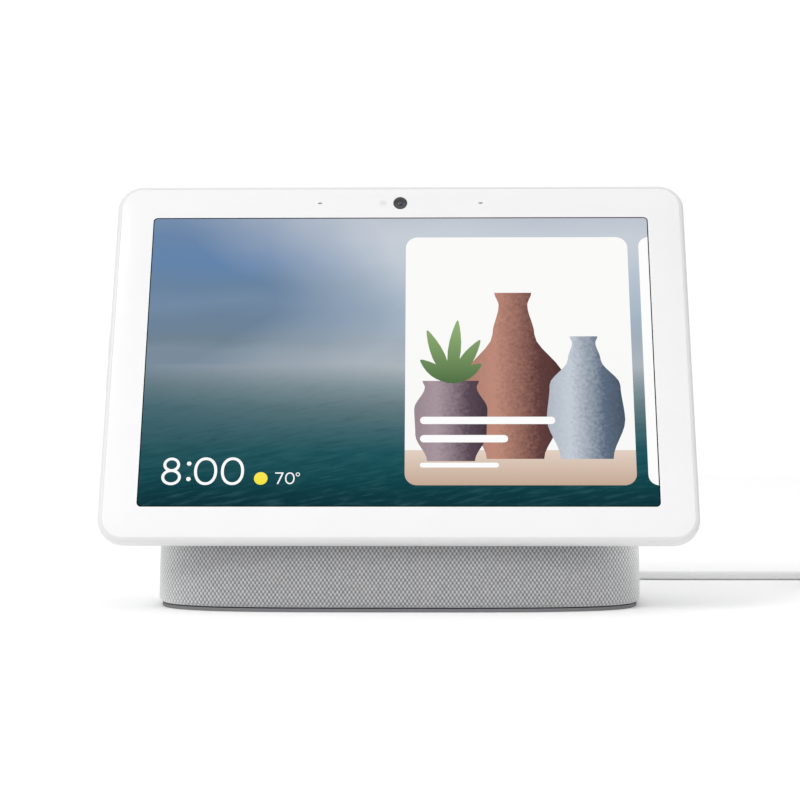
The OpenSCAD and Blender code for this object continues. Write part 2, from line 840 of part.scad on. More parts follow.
module power_jack() {
  color([0.08, 0.08, 0.08]) difference() {
    translate([-jack_w / 2, jack_y, board_z + 1.4]) cube([jack_w, jack_l, jack_h]);
    facing_back(jack_y + 3, jack_z) difference() {
      cylinder(h = jack_l, r = barrel_d / 2 + 0.05);
      cylinder(h = jack_l - 4, r = 0.95, $fn = 24);
    }
  }
}

module service_port() {
  color([0.75, 0.75, 0.76]) difference() {
    translate([usb_x - 4, cover_y - 7, board_z + 1.4]) cube([8, 6.8, 3]);
    translate([usb_x - 3.5, cover_y - 6, board_z + 1.9]) cube([7, 8, 2]);
  }
}

module port_cover() {
  color([0.75, 0.76, 0.76]) difference() {
    facing_back(cover_y, cover_z) linear_extrude(cover_t) round_rect(cover_w, cover_h, 5);
    facing_back(cover_y - cut, jack_z) cylinder(h = cover_t + 2 * cut, r = barrel_d / 2 + 0.8);
    translate([usb_x - 4.2, cover_y - cut, board_z + 1.2]) cube([8.4, cover_t + 2 * cut, 3.4]);
  }
}

// ---- Power lead ----

module power_plug() {
  color([0.95, 0.95, 0.95]) facing_back(plug_y, jack_z) difference() {
    rotate_extrude() polygon([
      [0, 0], [plug_r - 0.6, 0], [plug_r, 0.6], [plug_r, plug_l - 1], [plug_r - 0.8, plug_l],
      [3, plug_l + 1], [cord_d / 2 + 0.3, plug_l + relief_l], [0, plug_l + relief_l]]);
    translate([0, 0, -cut]) cylinder(h = cut + 3, r = barrel_d / 2);
  }
}

module plug_barrel() {
  color([0.8, 0.8, 0.78]) facing_back(plug_y - barrel_l, jack_z) difference() {
    cylinder(h = barrel_l + 3, r = barrel_d / 2);
    translate([0, 0, -cut]) cylinder(h = barrel_l + cut, r = 1.05, $fn = 24);
  }
}

module cord_run() {
  color([0.96, 0.96, 0.96]) cord_tube(cord_route);
}

module cord_tail() {
  color([0.96, 0.96, 0.96]) cord_tube(tail_route);
}

module cord_coil() {
  color([0.96, 0.96, 0.96]) translate([coil_x, coil_y, 0]) rotate_extrude($fn = 96)
    translate([(coil_in_r + coil_out_r) / 2, tie_t + coil_h / 2])
      round_rect(coil_out_r - coil_in_r, coil_h, 1.9);
}

module cord_tie() {
  ring_w = coil_out_r - coil_in_r;
  color([0.85, 0.85, 0.85]) translate([coil_x, coil_y, 0]) rotate(tie_angle)
    translate([(coil_in_r + coil_out_r) / 2, tie_w / 2, tie_t + coil_h / 2]) rotate([90, 0, 0])
      linear_extrude(tie_w) difference() {
        round_rect(ring_w + 2 * tie_t + 1.2, coil_h + 2 * tie_t, 2.7);
        round_rect(ring_w + 1.2, coil_h, 1.9);
      }
}

module wall_adapter() {
  color([0.96, 0.96, 0.96]) {
    difference() {
      translate([tail_x, adapter_back - adapter_l / 2, 0]) linear_extrude(adapter_h)
        round_rect(adapter_w, adapter_l, adapter_r);
      translate([tail_x, adapter_back - adapter_l, tail_z]) blades(0);
    }
    translate([tail_x, adapter_back - 0.5, tail_z]) rotate([-90, 0, 0])
      cylinder(h = 12.5, r1 = 3.4, r2 = cord_d / 2 + 0.4);
  }
}

module blades(extra) {
  for (s = [-1, 1])
    translate([s * blade_gap / 2 - blade_t / 2, -blade_l, -blade_w / 2])
      cube([blade_t, blade_l + 6 + extra, blade_w]);
}

module adapter_blades() {
  color([0.8, 0.8, 0.78]) translate([tail_x, adapter_back - adapter_l, tail_z]) blades(0);
}

front_glass();
glass_tape();
lcd_panel();
backlight_tray();
mid_frame();
rear_housing();
heat_spreader();
main_board();
shield_cans();
board_screws();
wifi_antennas();
camera_window();
camera_barrel();
camera_lens();
camera_board();
mic_boards();
microphones();
light_sensor();
mute_knob();
mute_switch();
volume_rocker();
rocker_pin();
rocker_bracket();
volume_board();
volume_switches();
neck_bracket();
neck_screws();
fabric_sleeve();
base_shell();
base_chassis();
base_plate();
base_screws();
rubber_foot();
speaker_baffle();
woofer_basket();
woofer_magnet();
woofer_cone();
woofer_surround();
woofer_screws();
tweeter_left_frame();
tweeter_left_magnet();
tweeter_left_dome();
tweeter_right_frame();
tweeter_right_magnet();
tweeter_right_dome();
io_board();
power_jack();
service_port();
port_cover();
power_plug();
plug_barrel();
cord_run();
cord_coil();
cord_tail();
cord_tie();
wall_adapter();
adapter_blades();
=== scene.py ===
"""Looks of a tabletop smart display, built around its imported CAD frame. Metres throughout."""

import json
import math
from math import cos, pi, sin, sqrt

import bmesh
import bpy
from mathutils import Matrix, Vector
from mathutils.geometry import delaunay_2d_cdt


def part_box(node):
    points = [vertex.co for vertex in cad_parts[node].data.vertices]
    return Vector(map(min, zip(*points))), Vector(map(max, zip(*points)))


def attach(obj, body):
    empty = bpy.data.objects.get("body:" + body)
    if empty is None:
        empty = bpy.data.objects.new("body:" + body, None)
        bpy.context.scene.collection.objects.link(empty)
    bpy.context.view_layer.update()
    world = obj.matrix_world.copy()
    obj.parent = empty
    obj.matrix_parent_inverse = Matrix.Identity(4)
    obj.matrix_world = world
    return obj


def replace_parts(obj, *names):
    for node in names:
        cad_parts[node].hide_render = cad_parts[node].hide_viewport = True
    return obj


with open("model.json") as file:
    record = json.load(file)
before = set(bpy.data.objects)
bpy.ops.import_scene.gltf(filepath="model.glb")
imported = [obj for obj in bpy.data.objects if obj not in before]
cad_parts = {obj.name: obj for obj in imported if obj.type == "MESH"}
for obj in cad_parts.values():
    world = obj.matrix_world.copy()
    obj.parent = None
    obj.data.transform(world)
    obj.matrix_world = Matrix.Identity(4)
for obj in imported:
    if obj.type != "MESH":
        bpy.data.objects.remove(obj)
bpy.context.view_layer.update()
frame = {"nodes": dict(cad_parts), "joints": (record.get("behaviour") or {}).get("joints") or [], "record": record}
MM = 0.001
CAD = frame["nodes"]

# ---- The display's own slope: x across, y back through the thickness, z up the slope ----

rock_axis = next(j for j in frame["joints"] if j["name"] == "volume_rock")["axis"]
TILT = math.atan2(-rock_axis[2], rock_axis[1])


def upright_box(node):
    """Lowest and highest corner of a node once the display is turned upright about the X axis."""
    turned = [Matrix.Rotation(TILT, 3, "X") @ v.co for v in CAD[node].data.vertices]
    return [Vector(tuple(f(p[k] for p in turned) for k in range(3))) for f in (min, max)]


rear_lo, rear_hi = upright_box("rear_housing")
SLOPE_START = Vector((0, rear_lo.y, rear_lo.z))
ON_PANEL = Matrix.Rotation(-TILT, 4, "X") @ Matrix.Translation(SLOPE_START)


def slope_box(node):
    return [corner - SLOPE_START for corner in upright_box(node)]


PANEL_W = rear_hi.x - rear_lo.x
PANEL_H = rear_hi.z - rear_lo.z
PANEL_T = rear_hi.y - rear_lo.y
MID_V = PANEL_H / 2
PANEL_R = 11 * MM              # corner radius of the display
RIM_W = slope_box("front_glass")[0].z
RIM_FRONT_D = 3 * MM
SIDE_D = 3.5 * MM              # depth where the rounding of the back begins
BACK_ROUND_W = 12 * MM
HOUSING_WALL = 1.8 * MM

# ---- Small tools ----


def srgb(r, g, b):
    """Linear colour of an 8-bit display colour."""
    def linear(c):
        c /= 255
        return c / 12.92 if c <= 0.04045 else ((c + 0.055) / 1.055) ** 2.4
    return (linear(r), linear(g), linear(b), 1.0)


def grey(level):
    return srgb(level, level, level)


def quarter(steps):
    """Angles from 0 to a right angle."""
    return [pi / 2 * i / steps for i in range(steps + 1)]


def make_piece(name, verts, faces, body, slot, place=None, materials=None):
    """A mesh object that rides on a CAD body."""
    return dress(name, bare_mesh((verts, faces)), body, slot, place, materials)


def dress(name, mesh, body, slot, place=None, materials=None, sharp=32):
    """Makes an object of a mesh, in its slot's material unless others are given."""
    materials = materials or [SLOT_MATERIALS[slot]]
    numbers = [polygon.material_index for polygon in mesh.polygons]
    mesh.materials.clear()
    for material in materials:
        mesh.materials.append(material)
    if len(materials) > 1:
        for polygon, number in zip(mesh.polygons, numbers):
            polygon.material_index = number
    if place:
        mesh.transform(place)
    mesh.validate()
    mesh.shade_smooth()
    mesh.set_sharp_from_angle(angle=math.radians(sharp))
    piece = bpy.data.objects.new(name, mesh)
    bpy.context.scene.collection.objects.link(piece)
    if body:
        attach(piece, body)
    return piece


def skin(rings, closed=False):
    """Vertices and faces of a solid through rings of the same length."""
    n = len(rings[0])
    verts = [v for ring in rings for v in ring]
    faces = []
    for i in range(len(rings) if closed else len(rings) - 1):
        a, b = i * n, (i + 1) % len(rings) * n
        faces += [(a + j, a + (j + 1) % n, b + (j + 1) % n, b + j) for j in range(n)]
    if not closed:
        faces.append(tuple(range(n - 1, -1, -1)))
        faces.append(tuple(range((len(rings) - 1) * n, len(rings) * n)))
    return verts, faces


def lathe(profile, steps=64):
    """A solid turned about +Z from (radius, height) points."""
    rings = []
    for r, h in profile:
        r = max(r, 1e-6)
        rings.append([Vector((r * cos(2 * pi * k / steps), r * sin(2 * pi * k / steps), h))
                      for k in range(steps)])
    return skin(rings)


def joined(*parts):
    """Several (vertices, faces) as one."""
    verts, faces = [], []
    for part_verts, part_faces in parts:
        faces += [tuple(i + len(verts) for i in face) for face in part_faces]
        verts += list(part_verts)
    return verts, faces


def moved(part, matrix):
    return [matrix @ Vector(v) for v in part[0]], part[1]


def round_loop(w, h, r, steps=12, middle=(0, 0)):
    """Points of a rounded rectangle, anticlockwise."""
    loop = []
    for corner, (sx, sy) in enumerate(((1, 1), (-1, 1), (-1, -1), (1, -1))):
        for i in range(steps + 1):
            a = pi / 2 * (corner + i / steps)
            loop.append((middle[0] + sx * (w / 2 - r) + r * cos(a),
                         middle[1] + sy * (h / 2 - r) + r * sin(a)))
    return loop


def oval_loop(x, y, rx, ry, steps=40, power=2.0):
    """Points of an ellipse, or of a squarer oval when power is above 2."""
    points = []
    for i in range(steps):
        c, s = cos(2 * pi * i / steps), sin(2 * pi * i / steps)
        points.append((x + rx * math.copysign(abs(c) ** (2 / power), c),
                       y + ry * math.copysign(abs(s) ** (2 / power), s)))
    return points


def round_box(lo, hi, r, steps=5):
    """A box with all its edges rounded, as stacked rounded rectangles."""
    middle = ((lo[0] + hi[0]) / 2, (lo[1] + hi[1]) / 2)
    rings = []
    for end, sign in ((lo[2] + r, -1), (hi[2] - r, 1)):
        for a in quarter(steps)[::sign]:
            inset = r * (1 - cos(a)) + 1e-6
            loop = round_loop(hi[0] - lo[0] - 2 * inset, hi[1] - lo[1] - 2 * inset,
                              max(r - inset, 2e-5) + 1e-5, steps, middle)
            rings.append([Vector((x, y, end + sign * r * sin(a))) for x, y in loop])
    return skin(rings)


def bare_mesh(part, place=None):
    """A mesh of (vertices, faces), in no object yet."""
    mesh = bpy.data.meshes.new("part")
    mesh.from_pydata([tuple(v) for v in part[0]], [], part[1])
    if place:
        mesh.transform(place)
    return mesh


def cut_away(mesh, *tools):
    """The mesh less every tool mesh."""
    piece = bpy.data.objects.new("whole", mesh)
    bpy.context.scene.collection.objects.link(piece)
    cutters = []
    for tool in tools:
        cutter = bpy.data.objects.new("cutter", tool)
        bpy.context.scene.collection.objects.link(cutter)
        change = piece.modifiers.new("cut", "BOOLEAN")
        change.operation = "DIFFERENCE"
        change.solver = "MANIFOLD"
        change.object = cutter
        cutters.append(cutter)
    bpy.context.view_layer.update()
    made = bpy.data.meshes.new_from_object(piece.evaluated_get(bpy.context.evaluated_depsgraph_get()))
    for old in [piece, *cutters]:
        bpy.data.objects.remove(old)
    return made


def softened(node, width, steps=3):
    """A copy of a CAD node's mesh with its sharp edges rounded."""
    work = bmesh.new()
    work.from_mesh(CAD[node].data)
    bmesh.ops.remove_doubles(work, verts=work.verts, dist=2e-6)
    bmesh.ops.dissolve_limit(work, angle_limit=math.radians(1), verts=work.verts, edges=work.edges)
    sharp = [e for e in work.edges if len(e.link_faces) == 2 and e.calc_face_angle() > math.radians(40)]
    bmesh.ops.bevel(work, geom=sharp, offset=width, segments=steps, profile=0.5, affect="EDGES",
                    clamp_overlap=True)
    mesh = bpy.data.meshes.new(node)
    work.to_mesh(mesh)
    work.free()
    return mesh


# ---- Materials ----


class Nodes:
    """A material's node tree, with short ways to add to it."""

    def __init__(self, name):
        self.material = bpy.data.materials.new(name)
        self.material.use_nodes = True
        self.tree = self.material.node_tree
        self.shader = self.tree.nodes["Principled BSDF"]

    def feed(self, socket, value):
        if isinstance(value, bpy.types.NodeSocket):
            self.tree.links.new(value, socket)
        else:
            socket.default_value = value

    def add(self, kind, values=(), **settings):
        made = self.tree.nodes.new(kind)
        for key, value in settings.items():
            setattr(made, key, value)
        for key, value in dict(values).items():
            self.feed(made.inputs[key], value)
        return made

    def set(self, **values):
        """Values of the shader's own sockets, named with underscores."""
        for key, value in values.items():
            self.feed(self.shader.inputs[key.replace("_", " ")], value)

    def math(self, operation, a, b=0.0, c=0.0, clamp=False):
        return self.add("ShaderNodeMath", {0: a, 1: b, 2: c}, operation=operation,
                        use_clamp=clamp).outputs[0]

    def mix(self, factor, a, b):
        made = self.add("ShaderNodeMix", data_type="RGBA")
        for key, value in ((0, factor), (6, a), (7, b)):        # the factor and the colour sockets
            self.feed(made.inputs[key], value)
        return made.outputs[2]

    def place(self, turn=(0, 0, 0), scale=(1, 1, 1), shift=(0, 0, 0)):
        """The piece's own coordinates, turned, scaled and shifted."""
        coords = self.add("ShaderNodeTexCoord").outputs["Object"]
        return self.add("ShaderNodeMapping", {"Vector": coords, "Rotation": turn, "Scale": scale,
                                              "Location": shift}).outputs[0]

    def noise(self, scale, detail=2.0, where=None):
        return self.add("ShaderNodeTexNoise", {"Vector": where or self.place(), "Scale": scale,
                                               "Detail": detail}).outputs["Fac"]

    def ramp(self, factor, stops):
        """Colours along a factor, from (position, colour) or (position, r, g, b) stops."""
        made = self.add("ShaderNodeValToRGB", {"Fac": factor})
        elements = made.color_ramp.elements
        while len(elements) < len(stops):
            elements.new(0.5)
        for element, stop in zip(elements, stops):      # every position first, as it sets the order
            element.position = stop[0]
        for element, stop in zip(elements, stops):
            element.color = stop[1] if len(stop) == 2 else srgb(*stop[1:])
        return made.outputs["Color"]

    def bump(self, height, strength, depth):
        self.set(Normal=self.add("ShaderNodeBump", {"Height": height, "Strength": strength,
                                                    "Distance": depth}).outputs[0])
        return self

    def done(self):
        return self.material


def shade(colour, factor):
    return (*(min(c * factor, 1) for c in colour[:3]), 1.0)


def moulded(name, colour, rough=0.45, grain=1400, depth=0.00003, spread=0.05, coat=0.0):
    """Moulded plastic or rubber: fine spark texture, slight colour and gloss variation."""
    n = Nodes(name)
    cloud = n.noise(30, 3)
    fine = n.noise(grain, 2)
    n.set(Base_Color=n.mix(cloud, shade(colour, 1 - spread), shade(colour, 1 + spread)),
          Roughness=n.math("MULTIPLY_ADD", fine, 0.16, rough - 0.08), Coat_Weight=coat, Coat_Roughness=0.12)
    return n.bump(fine, 0.35, depth).done()


def metal(name, colour, rough=0.3, stretch=(1, 60, 1)):
    """Rolled or plated metal with a fine grain that runs one way."""
    n = Nodes(name)
    grain = n.noise(900, 3, n.place(scale=stretch))
    n.set(Base_Color=n.mix(n.noise(60, 3), shade(colour, 0.9), shade(colour, 1.1)), Metallic=1.0,
          Roughness=n.math("MULTIPLY_ADD", grain, 0.25, rough - 0.1))
    return n.bump(grain, 0.2, 0.00002).done()


def clear(name, colour, tint=0.0):
    """Dark clear glass or lens."""
    n = Nodes(name)
    smear = n.noise(260, 2)
    n.set(Base_Color=n.mix(smear, colour, shade(colour, 1.3)), IOR=1.52, Coat_Weight=1.0, Coat_Roughness=0.02,
          Roughness=n.math("MULTIPLY_ADD", smear, 0.05, 0.03), Coat_Tint=(1 - tint, 1 - tint / 2, 1, 1))
    return n.done()


def board_material():
    """Green solder mask with copper tracks and pads under it."""
    n = Nodes("circuit_board")
    where = n.place()
    tracks = n.add("ShaderNodeTexBrick", {"Vector": where, "Scale": 180, "Mortar Size": 0.03,
                                          "Brick Width": 1.4, "Row Height": 0.5}).outputs["Fac"]
    pads = n.add("ShaderNodeTexVoronoi", {"Vector": where, "Scale": 420}).outputs["Distance"]
    pad_at = n.math("LESS_THAN", pads, 0.16)
    mask = n.mix(tracks, srgb(18, 92, 62), srgb(30, 120, 80))
    n.set(Base_Color=n.mix(pad_at, mask, srgb(190, 160, 90)), Coat_Weight=0.4, Coat_Roughness=0.25,
          Roughness=n.math("MULTIPLY_ADD", pad_at, -0.15, 0.45))
    return n.bump(n.math("ADD", tracks, pad_at), 0.3, 0.00004).done()


def spun(name, colour, pitch, rough, centre):
    """Rings pressed or turned about an axis along Y, as on a cone or surround."""
    n = Nodes(name)
    where = n.place(shift=(-centre[0], 0, -centre[2]))
    rings = n.add("ShaderNodeTexWave", {"Vector": where, "Scale": 0.05 / pitch, "Distortion": 0.4},
                  wave_type="RINGS", rings_direction="Y").outputs["Fac"]
    fibre = n.noise(700, 4)
    n.set(Base_Color=n.mix(fibre, shade(colour, 0.7), shade(colour, 1.3)),
          Roughness=n.math("MULTIPLY_ADD", fibre, 0.2, rough - 0.1))
    return n.bump(n.math("ADD", rings, fibre), 0.4, 0.00008).done()


def fabric_material():
    """Two-tone plain weave: light yarn across and darker yarn up, in a melange."""
    across, up = 1.69 * MM, 2.4 * MM      # one repeat of the weave, two yarns wide
    n = Nodes("grey_fabric")
    uv = n.add("ShaderNodeUVMap", uv_map="weave").outputs[0]
    parts = n.add("ShaderNodeSeparateXYZ", {0: uv})
    wander = n.math("MULTIPLY_ADD", n.noise(180, 2), 0.6, -0.3)
    u = n.math("ADD", n.math("MULTIPLY", parts.outputs["X"], 2 * pi / across), wander)
    v = n.math("ADD", n.math("MULTIPLY", parts.outputs["Y"], 2 * pi / up), wander)
    over = n.math("MULTIPLY", n.math("SINE", u), n.math("SINE", v))     # which yarn is on top
    soft = n.math("MULTIPLY_ADD", over, 0.75, 0.5, clamp=True)
    yarn = n.noise(2600, 3)
    tuft = n.noise(700, 2)
    tone = n.math("ADD", soft, n.math("MULTIPLY_ADD", yarn, 0.9, -0.45), clamp=True)
    tone = n.math("ADD", tone, n.math("MULTIPLY_ADD", tuft, 0.5, -0.25), clamp=True)
    n.set(Base_Color=n.ramp(tone, [(0.0, 84, 84, 84), (0.35, 119, 120, 122), (0.7, 159, 160, 162),
                                   (1.0, 190, 191, 193)]),
          Roughness=0.9, Specular_IOR_Level=0.2, Sheen_Weight=1.0, Sheen_Roughness=0.7,
          Sheen_Tint=(1, 1, 1, 1))
    crown_u = n.math("ABSOLUTE", n.math("SINE", u))
    crown_v = n.math("ABSOLUTE", n.math("SINE", v))
    height = n.math("ADD", n.math("MULTIPLY", crown_u, crown_v), n.math("MULTIPLY", yarn, 0.4))
    return n.bump(height, 0.6, 0.00022).done()


def slope_place(n):
    """Coordinates in the display's slope: x across, y through and z up from the lower edge, in metres."""
    return n.place(turn=(TILT, 0, 0), shift=(0, -SLOPE_START.y, -SLOPE_START.z))


def slope_parts(n):
    """Sockets for x across and z up the display's slope."""
    parts = n.add("ShaderNodeSeparateXYZ", {0: slope_place(n)})
    return parts.outputs["X"], parts.outputs["Z"]


def lit(n, colour):
    """Makes the shader a lit picture under glass."""
    n.set(Base_Color=(0.001, 0.001, 0.001, 1), Roughness=0.2, Specular_IOR_Level=0.02,
          Emission_Color=colour, Emission_Strength=1.0)
    return n.done()


def lit_plain(name, low, high, level, span):
    """A lit colour that changes evenly from one height of the slope to another."""
    n = Nodes(name)
    _, v = slope_parts(n)
    share = n.math("MULTIPLY_ADD", v, 1 / span, -level / span, clamp=True)
    grain = n.math("MULTIPLY_ADD", n.noise(900, 2), 0.06, -0.03)
    return lit(n, n.ramp(n.math("ADD", share, grain), [(0.0, low), (1.0, high)]))


def lit_round(name, dark, light, x, half):
    """A lit colour shaded across its width, as on something round that is lit from the left."""
    n = Nodes(name)
    u, _ = slope_parts(n)
    share = n.math("MULTIPLY_ADD", u, 0.5 / half, 0.5 - x * 0.5 / half, clamp=True)
    speck = n.math("MULTIPLY_ADD", n.noise(700, 3), 0.3, -0.15)
    return lit(n, n.ramp(n.math("ADD", share, speck),
                         [(0.0, shade(light, 0.8)), (0.3, light), (0.75, dark), (1.0, shade(dark, 0.6))]))


def sea_and_sky():
    """The lit picture: haze over a calm sea, paler towards the middle."""
    n = Nodes("screen_sea")
    u, v = slope_parts(n)
    low, high = LIT_LO.z, LIT_HI.z
    share = n.math("MULTIPLY_ADD", v, 1 / (high - low), -low / (high - low))

    where = slope_place(n)
    slanted = n.add("ShaderNodeMapping", {0: where, "Rotation": (0, 0.26, 0)}).outputs[0]
    cloud = n.noise(13, 5, n.add("ShaderNodeMapping", {0: slanted, "Scale": (1, 1, 2.6)}).outputs[0])
    at = n.math("ADD", share, n.math("MULTIPLY_ADD", cloud, 0.14, -0.07))
    sky_left = n.ramp(at, [(0.47, 120, 138, 155), (0.52, 122, 140, 156), (0.56, 110, 130, 146),
                           (0.63, 107, 130, 154), (0.69, 114, 137, 164), (0.76, 104, 131, 160),
                           (0.84, 98, 131, 171), (0.92, 104, 133, 169), (1.0, 116, 140, 172)])
    sky_mid = n.ramp(at, [(0.47, 170, 179, 187), (0.56, 162, 174, 186), (0.64, 163, 179, 195),
                          (0.72, 176, 189, 203), (0.84, 194, 202, 212), (0.92, 198, 205, 215),
                          (1.0, 188, 195, 206)])
    sea_left = n.ramp(share, [(0.0, 7, 50, 59), (0.05, 10, 58, 67), (0.1, 19, 72, 80), (0.18, 34, 82, 90),
                              (0.25, 54, 93, 102), (0.33, 70, 104, 113), (0.4, 97, 120, 129),
                              (0.44, 113, 132, 144), (0.47, 123, 140, 155)])
    sea_mid = n.ramp(share, [(0.0, 7, 52, 61), (0.05, 10, 60, 68), (0.1, 15, 73, 80), (0.18, 26, 83, 91),
                             (0.25, 62, 101, 109), (0.33, 99, 122, 128), (0.4, 133, 150, 157),
                             (0.44, 156, 167, 174), (0.47, 171, 180, 187)])
    drift = n.math("MULTIPLY_ADD", n.noise(11, 3, slanted), 0.9, -0.45)
    # How far the paler middle has taken over, by height and then across
    down = n.math("MULTIPLY_ADD", n.math("MINIMUM", n.math("SUBTRACT", 0.15, v), 0.045), -11, 1.25)
    down = n.math("MULTIPLY_ADD", n.math("MAXIMUM", n.math("SUBTRACT", 0.108, v), 0.0), 17, down)
    bright = n.math("ADD", n.math("MULTIPLY_ADD", u, 13.3, down), drift, clamp=True)
    middle = n.math("ADD", n.math("MULTIPLY_ADD", u, 9.5, 1.0), n.math("MULTIPLY", drift, 0.4), clamp=True)

    tilted = n.add("ShaderNodeMapping", {0: where, "Rotation": (0, 0.2, 0)}).outputs[0]
    swell = n.add("ShaderNodeMapping", {0: tilted, "Scale": (70, 1, 560)}).outputs[0]
    ripple = n.noise(1.0, 3, swell)
    fine = n.noise(2.6, 2, swell)
    depth = n.math("MULTIPLY_ADD", share, -1.7, 0.85, clamp=True)      # stronger near the viewer
    wave = n.math("MULTIPLY", n.math("ADD", n.math("MULTIPLY_ADD", ripple, 1.5, -0.75),
                                     n.math("MULTIPLY_ADD", fine, 0.8, -0.4)), depth)
    sea = n.mix(middle, sea_left, sea_mid)
    sea = n.mix(n.math("MULTIPLY", wave, 0.8, clamp=True), sea, srgb(70, 116, 124))
    sea = n.mix(n.math("MULTIPLY", wave, -1.3, clamp=True), sea, srgb(2, 40, 50))
    horizon, sharpness = 0.473, 90
    above = n.math("MULTIPLY_ADD", share, sharpness, -horizon * sharpness, clamp=True)
    return lit(n, n.mix(above, sea, n.mix(bright, sky_left, sky_mid)))


def cover_white():
    """Clear glass over white print, with the faint grey window of the light sensor."""
    n = Nodes("white_glass")
    u, v = slope_parts(n)
    wide, high = 1.8 * MM, 1.5 * MM
    du = n.math("MULTIPLY_ADD", u, 1 / wide, -SENSOR_X / wide)
    dv = n.math("MULTIPLY_ADD", v, 1 / high, -CAMERA_V / high)
    away = n.math("SQRT", n.math("ADD", n.math("MULTIPLY", du, du), n.math("MULTIPLY", dv, dv)))
    spot = n.math("MULTIPLY_ADD", away, -1.2, 1.5, clamp=True)
    print_tone = n.mix(n.noise(40, 2), srgb(243, 243, 243), srgb(247, 247, 247))
    n.set(Base_Color=n.mix(n.math("MULTIPLY", spot, 0.5), print_tone, srgb(214, 216, 218)),
          Roughness=n.math("MULTIPLY_ADD", n.noise(120, 2), 0.05, 0.14), Specular_IOR_Level=0.3,
          Coat_Weight=0.15, Coat_Roughness=0.05, IOR=1.5)
    return n.done()


# Places on the screen and around it, from the frame
LCD_MARGIN = 2.7 * MM           # how far the screen panel reaches past the picture
EDGE_LINE = 0.45 * MM           # black line around the picture
lcd_lo, lcd_hi = slope_box("lcd_panel")
LIT_LO = Vector((lcd_lo.x + LCD_MARGIN, 0, lcd_lo.z + LCD_MARGIN))
LIT_HI = Vector((lcd_hi.x - LCD_MARGIN, 0, lcd_hi.z - LCD_MARGIN))
camera_lo, camera_hi = slope_box("camera_window")
CAMERA_R = (camera_hi.x - camera_lo.x) / 2
CAMERA_V = (camera_lo.z + camera_hi.z) / 2
MIC_X = slope_box("microphones")[1].x - 1.8 * MM        # middle of the right microphone
sensor_lo, sensor_hi = slope_box("light_sensor")
SENSOR_X = (sensor_lo.x + sensor_hi.x) / 2

woofer_lo, woofer_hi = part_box("woofer_basket")
WOOFER_AT = (woofer_lo + woofer_hi) / 2

SLOT_MATERIALS = {
    "white_glass": cover_white(),
    "black_foam": moulded("black_foam", srgb(38, 38, 38), rough=0.9, grain=2500, depth=0.0001),
    "screen": clear("screen", srgb(20, 22, 26)),
    "tray_steel": metal("tray_steel", srgb(196, 198, 200)),
    "dark_plastic": moulded("dark_plastic", srgb(40, 40, 42), rough=0.5),
    "white_plastic": moulded("white_plastic", srgb(230, 230, 230), rough=0.38, spread=0.015),
    "spreader_aluminium": metal("spreader_aluminium", srgb(205, 207, 209), rough=0.38),
    "circuit_board": board_material(),
    "can_steel": metal("can_steel", srgb(200, 200, 198), rough=0.35, stretch=(40, 1, 1)),
    "screw_steel": metal("screw_steel", srgb(176, 177, 180), rough=0.32),
    "antenna_brass": metal("antenna_brass", srgb(212, 178, 110), rough=0.28),
    "camera_glass": clear("camera_glass", srgb(12, 12, 14)),
    "lens_glass": clear("lens_glass", srgb(24, 26, 48), tint=0.4),
    "mic_brass": metal("mic_brass", srgb(214, 196, 150), rough=0.3),
    "sensor_plastic": moulded("sensor_plastic", srgb(150, 150, 155), rough=0.2, coat=0.6),
    "bracket_steel": metal("bracket_steel", srgb(160, 163, 167), rough=0.4, stretch=(50, 1, 1)),
    "grey_fabric": fabric_material(),
    "shell_plastic": moulded("shell_plastic", srgb(196, 196, 196), rough=0.55),
    "plate_plastic": moulded("plate_plastic", srgb(214, 214, 216), rough=0.6),
    "foot_rubber": moulded("foot_rubber", srgb(126, 126, 128), rough=0.75, grain=800),
    "basket_steel": moulded("basket_steel", srgb(52, 52, 56), rough=0.35, grain=600),
    "magnet_iron": metal("magnet_iron", srgb(92, 92, 96), rough=0.55, stretch=(1, 1, 1)),
    "cone_paper": spun("cone_paper", srgb(44, 44, 47), 1.6 * MM, 0.8, WOOFER_AT),
    "surround_rubber": spun("surround_rubber", srgb(34, 34, 34), 0.9 * MM, 0.6, WOOFER_AT),
    "dome_fabric": moulded("dome_fabric", srgb(56, 56, 60), rough=0.7, grain=2600, depth=0.0001),
    "jack_plastic": moulded("jack_plastic", srgb(28, 28, 30), rough=0.3),
    "cover_plastic": moulded("cover_plastic", srgb(206, 207, 208), rough=0.45),
    "cord_plastic": moulded("cord_plastic", srgb(240, 240, 241), rough=0.42, grain=900, spread=0.012),
    "nickel": metal("nickel", srgb(214, 211, 204), rough=0.22),
    "tie_plastic": moulded("tie_plastic", srgb(226, 226, 228), rough=0.8, grain=500, depth=0.00012),
    "adapter_plastic": moulded("adapter_plastic", srgb(238, 238, 239), rough=0.22, spread=0.012, coat=0.3),
}


def paint_frame():
    """Gives every CAD node its slot's material."""
    for part in frame["record"]["subparts"]:
        mesh = CAD[part["node"]].data
        mesh.materials.clear()
        mesh.materials.append(SLOT_MATERIALS[part["material_slot"]])


# ---- Camera, light and floor ----

CAMERA_AT = Vector((15.65, -933.46, 106.43)) * MM
CAMERA_YAW = -0.01667
CAMERA_PITCH = -0.0212
CAMERA_ROLL = -0.001
CAMERA_LENS = 96.67             # for a 36 mm wide sensor


